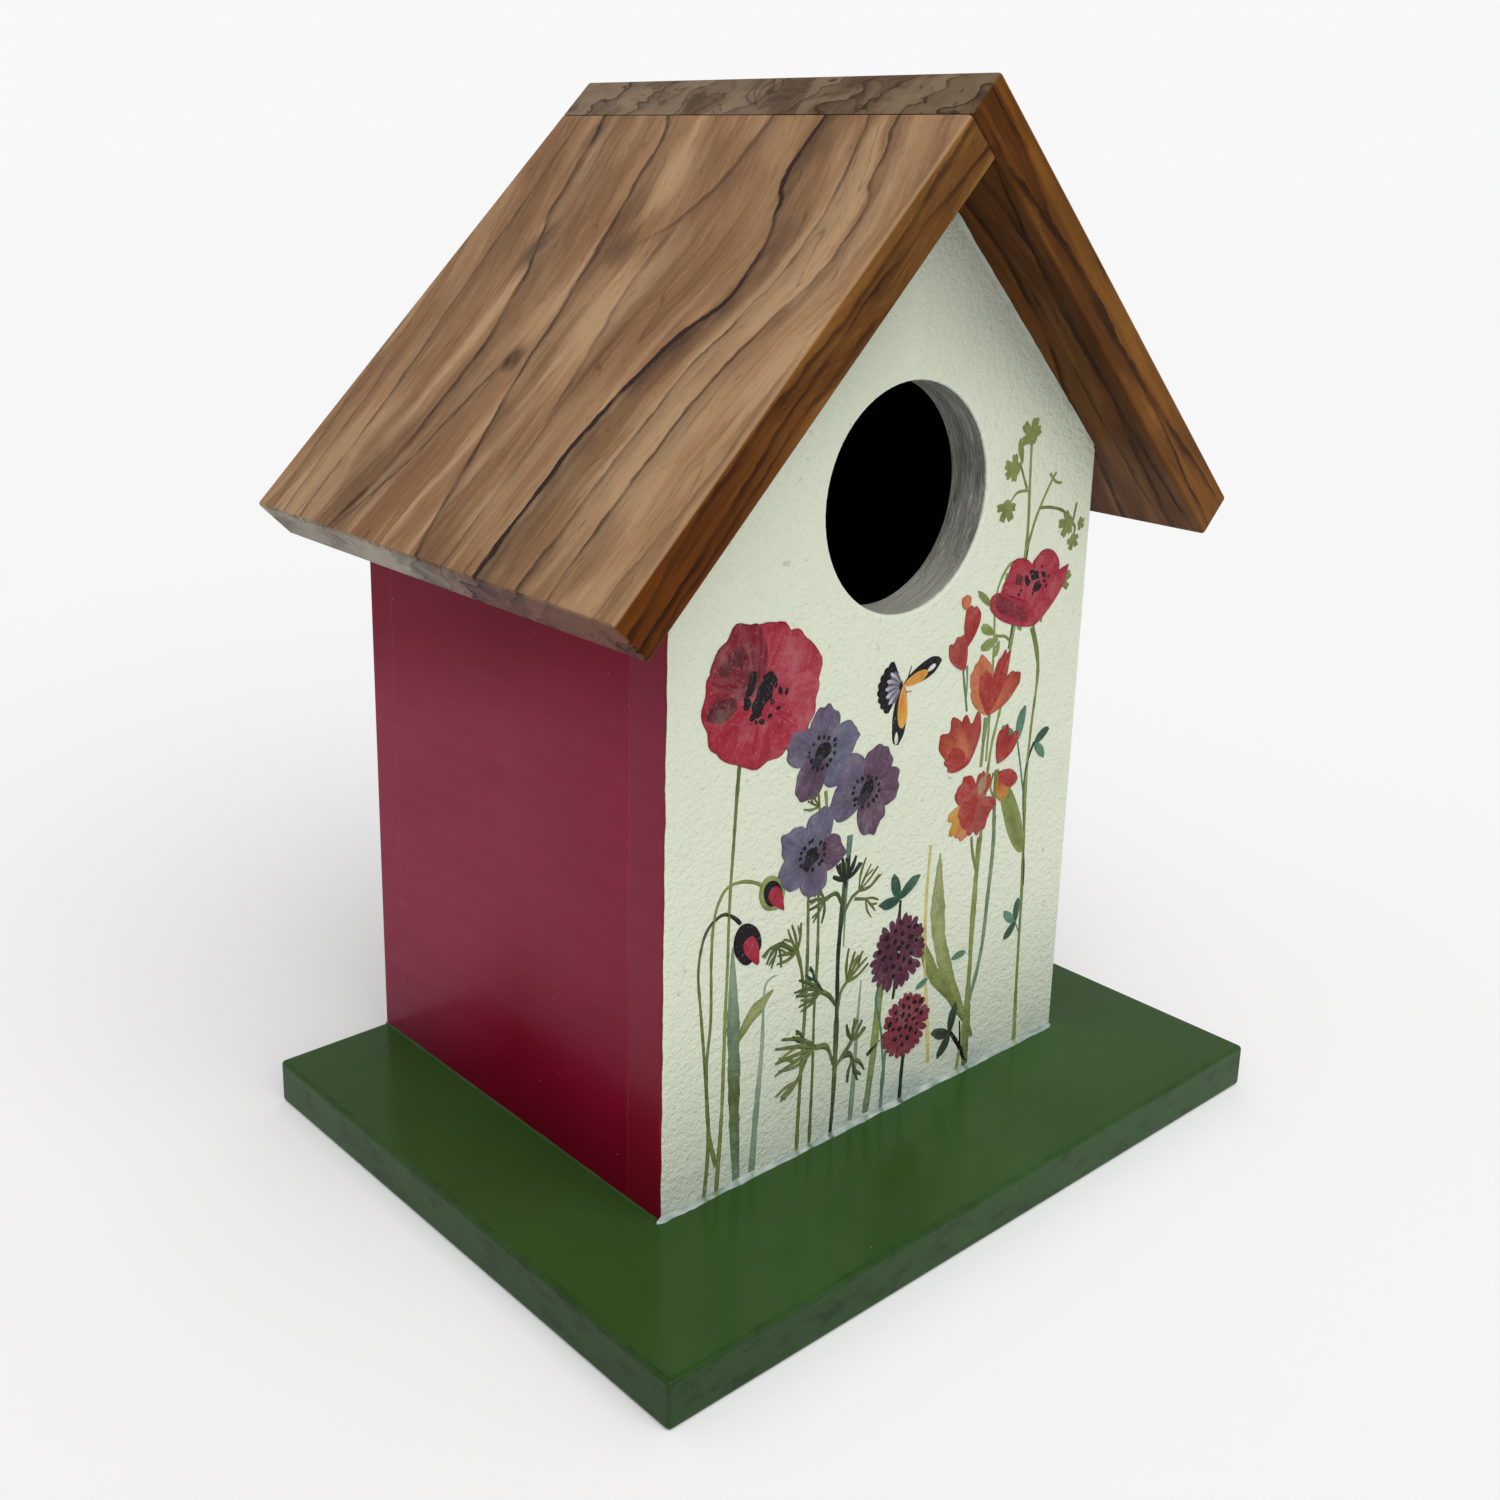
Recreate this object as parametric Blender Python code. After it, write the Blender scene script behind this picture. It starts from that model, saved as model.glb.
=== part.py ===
"""Painted garden birdhouse with a gabled wooden roof.

A free-standing nest box: a wide base board carries a house of two pentagonal
end panels and two side walls, under a roof of two square-edged boards.  The
boards are doweled together, the base is screwed on from below, and a round
clean-out opening in the back is closed by a cover that swivels on one screw.

Metres, +Z up, the front looks along -Y.  The origin is on the underside of
the base, at the middle of the whole object's footprint.
"""

from math import asin, cos, pi, sin, sqrt

import bmesh
import bpy
from mathutils import Matrix, Vector

# ---------------------------------------------------------------- dimensions
BOARD = 0.012              # thickness of the base, the front and the side walls
BACK_BOARD = 0.0105
ROOF_BOARD = 0.0125
GAP = 0.0003               # clearance between pieces that touch

BASE_WIDTH = 0.209
BASE_DEPTH = 0.1625
BASE_FRONT_LEDGE = 0.042   # base in front of the house; its back is flush

HOUSE_WIDTH = 0.144
HOUSE_DEPTH = BASE_DEPTH - BASE_FRONT_LEDGE
SHOULDER_HEIGHT = 0.165    # outer side walls, above the base
APEX_HEIGHT = SHOULDER_HEIGHT + HOUSE_WIDTH / 2     # 45 degree gables

ROOF_SLOPE = 0.1325        # from the apex down to the eave, along the slope
ROOF_FRONT_OVERHANG = 0.0205

ENTRANCE_RADIUS = 0.0275
ENTRANCE_HEIGHT = 0.1605   # centre, above the base
ENTRANCE_OFFSET = 0.0015   # drilled a little right of the middle
RIM_RADIUS = 0.0008        # eased edge of the two openings

CLEANOUT_RADIUS = 0.022
CLEANOUT_HEIGHT = 0.042    # centre, above the base
COVER_RADIUS = 0.029
COVER_EAR_RADIUS = 0.010
COVER_PIVOT_RISE = 0.042   # pivot above the centre of the opening
COVER_THICKNESS = 0.006

DOWEL_RADIUS = 0.003
DOWEL_SHORT_END = 0.007    # length in the board whose face is drilled
DOWEL_LONG_END = 0.013     # length in the board whose edge is drilled
DOWEL_CHAMFER = 0.0006

SCREW_RADIUS = 0.00175
SCREW_HEAD_RADIUS = 0.0038
BASE_SCREW_LENGTH = 0.034
SCREW_TIP = 0.004
SCREW_RECESS_DEPTH = 0.0014
PIVOT_SCREW_LENGTH = 0.0145
PIVOT_HEAD_RADIUS = 0.0036
PIVOT_HEAD_HEIGHT = 0.0022
PIVOT_CLEARANCE = 0.0001
WASHER_RADIUS = 0.0055
WASHER_THICKNESS = 0.0008

BASE_ROUNDING = 0.0011
ROOF_ROUNDING = 0.0009
PANEL_ROUNDING = 0.0008
COVER_ROUNDING = 0.0010

FRONT_BEAD = 0.0020        # sealant fillets, leg length
SIDE_BEAD = 0.0013
GABLE_BEAD = 0.0015

# ----------------------------------------------------------- derived places
# The cover and its screw head stand behind the flush back of the house.
BACK_PROUD = GAP + COVER_THICKNESS + GAP + WASHER_THICKNESS + PIVOT_HEAD_HEIGHT + GAP
BACK_Y = (BASE_DEPTH - BACK_PROUD) / 2
BASE_FRONT_Y = BACK_Y - BASE_DEPTH
FRONT_Y = BACK_Y - HOUSE_DEPTH
FLOOR_Z = BOARD            # top of the base
HALF_WIDTH = HOUSE_WIDTH / 2
APEX = Vector((0, 0, FLOOR_Z + APEX_HEIGHT))
PIVOT = Vector((0, BACK_Y, FLOOR_Z + CLEANOUT_HEIGHT + COVER_PIVOT_RISE))

# Directions down each roof slope, and square to it, away from the house.
DOWN = {"left": Vector((-1, 0, -1)) / sqrt(2), "right": Vector((1, 0, -1)) / sqrt(2)}
OUT = {"left": Vector((-1, 0, 1)) / sqrt(2), "right": Vector((1, 0, 1)) / sqrt(2)}
SIDE_SIGN = {"left": -1, "right": 1}

# The end panels: place of the outer face, the way inward along Y, thickness.
END_PANELS = {"front": (FRONT_Y, 1, BOARD), "back": (BACK_Y, -1, BACK_BOARD)}

HIDDEN_STEPS = 14          # facets of dowels and of the holes drilled for them
SCREW_STEPS = 24           # facets of screws and washer
OPENING_STEPS = 64         # facets of the two openings
ROUNDING_STEPS = 3         # facets of a rounded edge

holes = {}                 # board name -> cutters that are drilled from it


# ------------------------------------------------------------------- helpers
def clear_scene():
    for item in list(bpy.data.objects):
        bpy.data.objects.remove(item, do_unlink=True)


def material(name, colour, roughness, metallic=0.0):
    mat = bpy.data.materials.new(name)
    mat.use_nodes = True
    shader = mat.node_tree.nodes["Principled BSDF"]
    shader.inputs["Base Color"].default_value = (*colour, 1.0)
    shader.inputs["Roughness"].default_value = roughness
    shader.inputs["Metallic"].default_value = metallic
    mat.diffuse_color = (*colour, 1.0)
    return mat


def add_object(name, bm, mat, location=(0, 0, 0), rotation=None):
    """Turn a bmesh into a named object with outward normals."""
    bmesh.ops.recalc_face_normals(bm, faces=bm.faces)
    mesh = bpy.data.meshes.new(name)
    bm.to_mesh(mesh)
    bm.free()
    if mat:
        mesh.materials.append(mat)
    obj = bpy.data.objects.new(name, mesh)
    obj.location = location
    if rotation:
        obj.rotation_euler = rotation.to_euler()
    bpy.context.scene.collection.objects.link(obj)
    return obj


def prism(outline, y_front, y_back):
    """A bmesh of an XZ outline, drawn out along Y."""
    bm = bmesh.new()
    ring = [bm.verts.new((x, y_front, z)) for x, z in outline]
    face = bm.faces.new(ring)
    pushed = bmesh.ops.extrude_face_region(bm, geom=[face])
    moved = [item for item in pushed["geom"] if isinstance(item, bmesh.types.BMVert)]
    bmesh.ops.translate(bm, verts=moved, vec=(0, y_back - y_front, 0))
    return bm


def round_edges(bm, radius, chosen):
    """Round the edges whose middle satisfies the test."""
    edges = [e for e in bm.edges if chosen((e.verts[0].co + e.verts[1].co) / 2)]
    bmesh.ops.bevel(bm, geom=edges, offset=radius, segments=ROUNDING_STEPS, profile=0.5,
                    affect="EDGES", clamp_overlap=True)


def lathe(profile, steps):
    """A bmesh turned about Z from (radius, z) points, closed where it meets the axis."""
    bm = bmesh.new()
    points = [bm.verts.new((radius, 0, z)) for radius, z in profile]
    edges = [bm.edges.new(pair) for pair in zip(points, points[1:])]
    if profile[0][0] > 0:
        edges.append(bm.edges.new((points[-1], points[0])))
    bmesh.ops.spin(bm, geom=points + edges, cent=(0, 0, 0), axis=(0, 0, 1),
                   angle=2 * pi, steps=steps, use_merge=True)
    bmesh.ops.remove_doubles(bm, verts=bm.verts, dist=1e-7)
    return bm


def turned(name, profile, mat, location, direction, steps=SCREW_STEPS):
    """A smooth turned piece whose own +Z points along direction."""
    rotation = Vector(direction).to_track_quat("Z", "Y")
    obj = add_object(name, lathe(profile, steps), mat, location, rotation)
    obj.data.shade_smooth()
    obj.data.set_sharp_from_angle(angle=pi / 6)
    return obj


def as_cutter(obj):
    obj.hide_render = True
    obj.display_type = "WIRE"
    return obj


def cut(obj, cutter):
    boolean = obj.modifiers.new("cut_" + cutter.name, "BOOLEAN")
    boolean.operation = "DIFFERENCE"
    boolean.solver = "EXACT"
    boolean.object = as_cutter(cutter)


def drill(board, name, point, direction, radius, depth):
    """Note a round blind hole that enters the board at point, along direction."""
    run_in = 0.002
    profile = [(0, -run_in), (radius, -run_in), (radius, depth), (0, depth)]
    cutter = turned("cutter_" + name, profile, None, point, direction, HIDDEN_STEPS)
    holes.setdefault(board, []).append(cutter)


def opening_profile(radius, thickness):
    """A hole right through a board, with both rims eased by a quarter round."""
    over = 0.002
    quarter = [i * pi / 6 for i in range(4)]
    flare = radius + RIM_RADIUS
    entry = [(flare - RIM_RADIUS * sin(a), RIM_RADIUS * (1 - cos(a))) for a in quarter]
    leave = [(r, thickness - z) for r, z in reversed(entry)]
    return [(0, -over), (flare, -over), *entry, *leave, (flare, thickness + over), (0, thickness + over)]


def cut_opening(end, name, radius, x, height):
    """A round opening through an end panel, both of its rims eased."""
    outer_y, inward, thickness = END_PANELS[end]
    place = (x, outer_y, FLOOR_Z + height)
    profile = opening_profile(radius, thickness)
    cutter = turned("cutter_" + name, profile, None, place, (0, inward, 0), OPENING_STEPS)
    holes.setdefault(end + "_panel", []).append(cutter)


# -------------------------------------------------------------------- boards
def build_base(paint):
    outline = [(-BASE_WIDTH / 2, 0), (BASE_WIDTH / 2, 0),
               (BASE_WIDTH / 2, BOARD), (-BASE_WIDTH / 2, BOARD)]
    bm = prism(outline, BASE_FRONT_Y, BACK_Y)
    round_edges(bm, BASE_ROUNDING, lambda middle: True)
    return add_object("base_board", bm, paint)


def build_end_panel(end, paint):
    """A pentagonal end panel, modelled inward from its outer face."""
    outer_y, inward, thickness = END_PANELS[end]
    slack = GAP * sqrt(2)
    outline = [(-HALF_WIDTH, GAP), (HALF_WIDTH, GAP), (HALF_WIDTH, SHOULDER_HEIGHT - slack),
               (0, APEX_HEIGHT - slack), (-HALF_WIDTH, SHOULDER_HEIGHT - slack)]
    bm = prism(outline, 0, inward * thickness)
    round_edges(bm, PANEL_ROUNDING,
                lambda middle: abs(middle.y) < GAP and abs(abs(middle.x) - HALF_WIDTH) < GAP)
    return add_object(end + "_panel", bm, paint, (0, outer_y, FLOOR_Z))


def build_side_wall(side, paint):
    """A side wall between the end panels, its top bevelled to the roof."""
    slack = GAP * sqrt(2)
    sign = SIDE_SIGN[side]
    outer = sign * HALF_WIDTH
    inner = sign * (HALF_WIDTH - BOARD)
    outline = [(inner, GAP), (outer, GAP), (outer, SHOULDER_HEIGHT - slack),
               (inner, SHOULDER_HEIGHT + BOARD - slack)]
    depth = HOUSE_DEPTH - BOARD - BACK_BOARD - 2 * GAP
    bm = prism(outline, 0, depth)
    return add_object(side + "_wall", bm, paint, (0, FRONT_Y + BOARD + GAP, FLOOR_Z))


def build_roof_board(side, varnish):
    """A roof board modelled flat, running down the slope along +X, then tilted.

    The right board laps over the top end of the left one, so it starts one
    board thickness above the apex, and the left one starts just below it.
    """
    sign = SIDE_SIGN[side]
    top = -ROOF_BOARD if side == "right" else GAP
    outline = [(top, 0), (ROOF_SLOPE, 0), (ROOF_SLOPE, ROOF_BOARD), (top, ROOF_BOARD)]
    bm = prism(outline, FRONT_Y - ROOF_FRONT_OVERHANG, BACK_Y)

    def is_exposed(middle):
        """Every edge but those of the butt joint at the ridge."""
        at_top_end = middle.x < top + GAP
        ridge_corner = side == "right" and middle.z > ROOF_BOARD / 2
        return not at_top_end or ridge_corner

    round_edges(bm, ROOF_ROUNDING, is_exposed)
    if sign < 0:
        bmesh.ops.scale(bm, verts=bm.verts, vec=(-1, 1, 1))
    tilt = Matrix.Rotation(sign * pi / 4, 4, "Y")
    return add_object(side + "_roof_board", bm, varnish, APEX, tilt)


# ----------------------------------------------------------------- fasteners
def add_dowel(name, point, direction, face_board, edge_board, beech):
    """A dowel across a joint; direction points from the face-drilled board on."""
    direction = Vector(direction)
    back = DOWEL_SHORT_END
    ahead = DOWEL_LONG_END
    tip = DOWEL_RADIUS - DOWEL_CHAMFER
    profile = [(0, -back), (tip, -back), (DOWEL_RADIUS, DOWEL_CHAMFER - back),
               (DOWEL_RADIUS, ahead - DOWEL_CHAMFER), (tip, ahead), (0, ahead)]
    turned(name, profile, beech, point, direction, HIDDEN_STEPS)
    bore = (DOWEL_RADIUS + GAP) / cos(pi / HIDDEN_STEPS)
    drill(face_board, name + "_face", point, -direction, bore, back + GAP)
    drill(edge_board, name + "_edge", point, direction, bore, ahead + GAP)


def add_roof_dowels(beech):
    places = {"upper": 0.025, "lower": 0.075}          # down the slope from the apex
    for side in ("left", "right"):
        for end, (outer_y, inward, thickness) in END_PANELS.items():
            y = outer_y + inward * thickness / 2
            for row, run in places.items():
                point = APEX + DOWN[side] * run + Vector((0, y, 0))
                add_dowel(f"roof_dowel_{side}_{end}_{row}", point, -OUT[side],
                          side + "_roof_board", end + "_panel", beech)


def add_ridge_dowels(beech):
    roof_middle = (FRONT_Y - ROOF_FRONT_OVERHANG + BACK_Y) / 2
    spacing = 0.050
    for index in range(3):
        y = roof_middle + (index - 1) * spacing
        point = APEX + OUT["left"] * (ROOF_BOARD / 2) + Vector((0, y, 0))
        add_dowel(f"ridge_dowel_{index + 1}", point, DOWN["left"],
                  "right_roof_board", "left_roof_board", beech)


def add_wall_dowels(beech):
    heights = {"lower": 0.050, "upper": 0.140}         # above the base
    for side, sign in SIDE_SIGN.items():
        for end, (outer_y, inward, thickness) in END_PANELS.items():
            y = outer_y + inward * thickness
            for row, height in heights.items():
                point = (sign * (HALF_WIDTH - BOARD / 2), y, FLOOR_Z + height)
                add_dowel(f"wall_dowel_{side}_{end}_{row}", point, (0, inward, 0),
                          end + "_panel", side + "_wall", beech)


def cross_recess(name, location, direction, depth):
    """A cutter for the cross slot in a screw head, its open end at location."""
    arm = 0.0021
    half = 0.00045
    corners = [(arm, half), (half, half), (half, arm), (-half, arm), (-half, half), (-arm, half)]
    outline = corners + [(-x, -z) for x, z in corners]
    bm = prism(outline, 0, depth + GAP)
    bmesh.ops.translate(bm, verts=bm.verts, vec=(0, -GAP, 0))
    rotation = Vector(direction).to_track_quat("Y", "Z")
    return add_object(name, bm, None, location, rotation)


def add_base_screw(index, x, y, board, steel):
    """A countersunk screw driven up through the base into a board."""
    name = f"base_screw_{index}"
    cone = SCREW_HEAD_RADIUS - SCREW_RADIUS
    length = BASE_SCREW_LENGTH
    profile = [(0, 0), (SCREW_HEAD_RADIUS, 0), (SCREW_HEAD_RADIUS, GAP), (SCREW_RADIUS, GAP + cone),
               (SCREW_RADIUS, length - SCREW_TIP), (0, length)]
    location = (x, y, GAP)
    screw = turned(name, profile, steel, location, (0, 0, 1))
    cut(screw, cross_recess("cutter_" + name + "_cross", location, (0, 0, 1), SCREW_RECESS_DEPTH))

    wide = SCREW_HEAD_RADIUS + GAP
    bore = SCREW_RADIUS + GAP
    over = BOARD + GAP
    sink = [(0, -over), (wide, -over), (wide, 2 * GAP),
            (bore, 2 * GAP + wide - bore), (bore, over), (0, over)]
    holes.setdefault("base_board", []).append(
        turned("cutter_" + name + "_sink", sink, None, (x, y, 0), (0, 0, 1)))
    drill(board, name + "_pilot", (x, y, FLOOR_Z), (0, 0, 1), bore, length - BOARD + 2 * GAP)


def add_base_screws(steel):
    across = 0.040
    front_y = FRONT_Y + BOARD / 2
    back_y = BACK_Y - BACK_BOARD / 2
    middle_y = (FRONT_Y + BACK_Y) / 2
    wall_x = HALF_WIDTH - BOARD / 2
    places = [(-across, front_y, "front_panel"), (across, front_y, "front_panel"),
              (-across, back_y, "back_panel"), (across, back_y, "back_panel"),
              (-wall_x, middle_y, "left_wall"), (wall_x, middle_y, "right_wall")]
    for index, (x, y, board) in enumerate(places, start=1):
        add_base_screw(index, x, y, board, steel)


# ------------------------------------------------------------ clean-out cover
def cover_outline():
    """A drop shape: a large round over the opening, drawn up to a small ear."""
    lean = (COVER_RADIUS - COVER_EAR_RADIUS) / COVER_PIVOT_RISE
    start = asin(lean)     # where the straight flanks meet both arcs
    points = []
    ear_steps = 10
    disc_steps = 40
    for i in range(ear_steps + 1):
        angle = start + (pi - 2 * start) * i / ear_steps
        points.append((COVER_EAR_RADIUS * cos(angle), COVER_EAR_RADIUS * sin(angle)))
    for i in range(disc_steps + 1):
        angle = pi - start + (pi + 2 * start) * i / disc_steps
        points.append((COVER_RADIUS * cos(angle), COVER_RADIUS * sin(angle) - COVER_PIVOT_RISE))
    return points


def build_cover(varnish):
    """The swivelling cover, its origin on the pivot axis."""
    bm = prism(cover_outline(), GAP, GAP + COVER_THICKNESS)
    round_edges(bm, COVER_ROUNDING, lambda middle: middle.y > COVER_THICKNESS)
    cover = add_object("cleanout_cover", bm, varnish, PIVOT)
    bore = SCREW_RADIUS + PIVOT_CLEARANCE
    reach = COVER_THICKNESS + 0.002
    hole = [(0, -reach), (bore, -reach), (bore, reach), (0, reach)]
    cut(cover, turned("cutter_pivot", hole, None, PIVOT, (0, 1, 0)))


def build_pivot_hardware(steel):
    """The washer and the round-headed screw that hold the cover."""
    washer_y = PIVOT.y + GAP + COVER_THICKNESS + GAP
    bore = SCREW_RADIUS + GAP
    ring = [(bore, 0), (WASHER_RADIUS, 0), (WASHER_RADIUS, WASHER_THICKNESS), (bore, WASHER_THICKNESS)]
    turned("cover_washer", ring, steel, (PIVOT.x, washer_y, PIVOT.z), (0, 1, 0))

    head_y = washer_y + WASHER_THICKNESS + GAP
    crown = [(PIVOT_HEAD_RADIUS * cos(i * pi / 12), -PIVOT_HEAD_HEIGHT * sin(i * pi / 12))
             for i in range(6)] + [(0, -PIVOT_HEAD_HEIGHT)]
    length = PIVOT_SCREW_LENGTH
    profile = list(reversed(crown)) + [(SCREW_RADIUS, 0), (SCREW_RADIUS, length - SCREW_TIP), (0, length)]
    location = (PIVOT.x, head_y, PIVOT.z)
    screw = turned("cover_screw", profile, steel, location, (0, -1, 0))
    outer = (PIVOT.x, head_y + PIVOT_HEAD_HEIGHT, PIVOT.z)
    cut(screw, cross_recess("cutter_cover_screw_cross", outer, (0, -1, 0), SCREW_RECESS_DEPTH))
    inside = length - (head_y - BACK_Y)
    drill("back_panel", "pivot_pilot", PIVOT, (0, -1, 0), bore, inside + GAP)


# --------------------------------------------------------------- sealant beads
def bead(name, leg, length, location, rotation, mat):
    """A fillet along X with one leg down +Y and one up +Z, its face hollowed."""
    hollow = 0.30
    steps = 6
    corners = [(GAP, GAP)]
    for i in range(steps + 1):
        t = i / steps
        sag = 4 * t * (1 - t) * hollow * leg / 2
        corners.append((GAP + (1 - t) * leg - sag / sqrt(2) * (t < 1), GAP + t * leg - sag / sqrt(2)))
    bm = bmesh.new()
    ring = [bm.verts.new((-length / 2, -y, z)) for y, z in corners]
    face = bm.faces.new(ring)
    pushed = bmesh.ops.extrude_face_region(bm, geom=[face])
    moved = [item for item in pushed["geom"] if isinstance(item, bmesh.types.BMVert)]
    bmesh.ops.translate(bm, verts=moved, vec=(length, 0, 0))
    return add_object(name, bm, mat, location, rotation)


def build_beads(white, green):
    """Fillets of sealant along the foot of the house and under the front gable."""
    middle_y = (FRONT_Y + BACK_Y) / 2
    bead("bead_front_foot", FRONT_BEAD, HOUSE_WIDTH, (0, FRONT_Y, FLOOR_Z), None, white)
    for side, sign in SIDE_SIGN.items():
        quarter = Matrix.Rotation(sign * pi / 2, 4, "Z")
        location = (sign * HALF_WIDTH, middle_y, FLOOR_Z)
        bead(f"bead_{side}_foot", SIDE_BEAD, HOUSE_DEPTH, location, quarter, green)
    gable_length = HALF_WIDTH * sqrt(2) - 4 * GABLE_BEAD
    for side in ("left", "right"):
        middle = APEX + DOWN[side] * HALF_WIDTH / sqrt(2) + Vector((0, FRONT_Y, 0))
        into_house = Vector((0, 1, 0))
        away_from_roof = -OUT[side]
        axes = (into_house.cross(away_from_roof), into_house, away_from_roof)
        rotation = Matrix(axes).transposed()
        bead(f"bead_{side}_gable", GABLE_BEAD, gable_length, middle, rotation, white)


# ---------------------------------------------------------------------- whole
def build():
    clear_scene()
    cream = material("cream_paint", (0.70, 0.73, 0.61), 0.62)
    crimson = material("crimson_paint", (0.25, 0.010, 0.030), 0.22)
    green = material("green_paint", (0.040, 0.110, 0.030), 0.30)
    teak = material("varnished_teak", (0.26, 0.14, 0.072), 0.38)
    beech = material("beech_dowel", (0.62, 0.44, 0.27), 0.70)
    steel = material("zinc_steel", (0.62, 0.63, 0.65), 0.35, 1.0)
    sealant = material("white_sealant", (0.66, 0.71, 0.69), 0.50)

    boards = [build_base(green),
              build_end_panel("front", cream),
              build_end_panel("back", crimson),
              build_side_wall("left", crimson),
              build_side_wall("right", crimson),
              build_roof_board("left", teak),
              build_roof_board("right", teak)]

    cut_opening("front", "entrance", ENTRANCE_RADIUS, ENTRANCE_OFFSET, ENTRANCE_HEIGHT)
    cut_opening("back", "cleanout", CLEANOUT_RADIUS, 0, CLEANOUT_HEIGHT)
    add_roof_dowels(beech)
    add_ridge_dowels(beech)
    add_wall_dowels(beech)
    add_base_screws(steel)
    build_cover(teak)
    build_pivot_hardware(steel)
    build_beads(sealant, green)

    for board in boards:
        for cutter in holes.get(board.name, []):
            cut(board, cutter)


build()
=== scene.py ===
"""Looks of the painted birdhouse: materials, flower painting, sealant, stage, light and camera.

Everything is in metres in the CAD frame: +Z up, the front of the house looks along -Y.
"""

import math
from functools import partialmethod

import bmesh
import bpy
from mathutils import Matrix, Vector, noise


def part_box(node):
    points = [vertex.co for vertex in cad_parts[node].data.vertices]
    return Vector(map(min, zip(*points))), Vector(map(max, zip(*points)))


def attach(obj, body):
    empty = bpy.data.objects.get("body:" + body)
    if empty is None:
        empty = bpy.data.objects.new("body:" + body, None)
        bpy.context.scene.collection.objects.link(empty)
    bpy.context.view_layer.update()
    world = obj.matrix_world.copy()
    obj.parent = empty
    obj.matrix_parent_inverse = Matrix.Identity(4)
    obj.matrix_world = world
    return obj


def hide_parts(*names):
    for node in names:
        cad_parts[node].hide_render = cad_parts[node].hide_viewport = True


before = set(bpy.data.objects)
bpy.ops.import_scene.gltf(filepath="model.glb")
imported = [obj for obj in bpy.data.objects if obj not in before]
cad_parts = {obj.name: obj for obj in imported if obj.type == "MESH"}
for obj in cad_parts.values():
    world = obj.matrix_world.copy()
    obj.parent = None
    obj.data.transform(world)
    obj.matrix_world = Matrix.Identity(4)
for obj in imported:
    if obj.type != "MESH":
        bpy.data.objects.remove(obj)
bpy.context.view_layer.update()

MM = 0.001
SQRT_HALF = math.sqrt(0.5)

# ------------------------------------------------------- places, from the frame
base_low, base_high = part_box("base_board")
panel_low, panel_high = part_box("front_panel")
back_low, back_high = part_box("back_panel")
left_wall_low, left_wall_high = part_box("left_wall")
roof_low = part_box("right_roof_board")[0]

FLOOR_Z = base_high.z                      # top of the base
FRONT_Y = panel_low.y                      # outer face of the front panel
BACK_Y = back_high.y
HALF_WIDTH = panel_high.x
PANEL_THICKNESS = panel_high.y - panel_low.y
ROOF_FRONT_Y = roof_low.y
CAVITY_HALF = HALF_WIDTH - (left_wall_high.x - left_wall_low.x)
APEX_Z = FLOOR_Z + 0.237                   # underside of the roof at the ridge
ROOF_THICKNESS = 0.0125
SHOULDER_Z = left_wall_high.z
ENTRANCE_X = 0.0015
ENTRANCE_Z = FLOOR_Z + 0.1605
ENTRANCE_RADIUS = 0.0275


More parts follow.
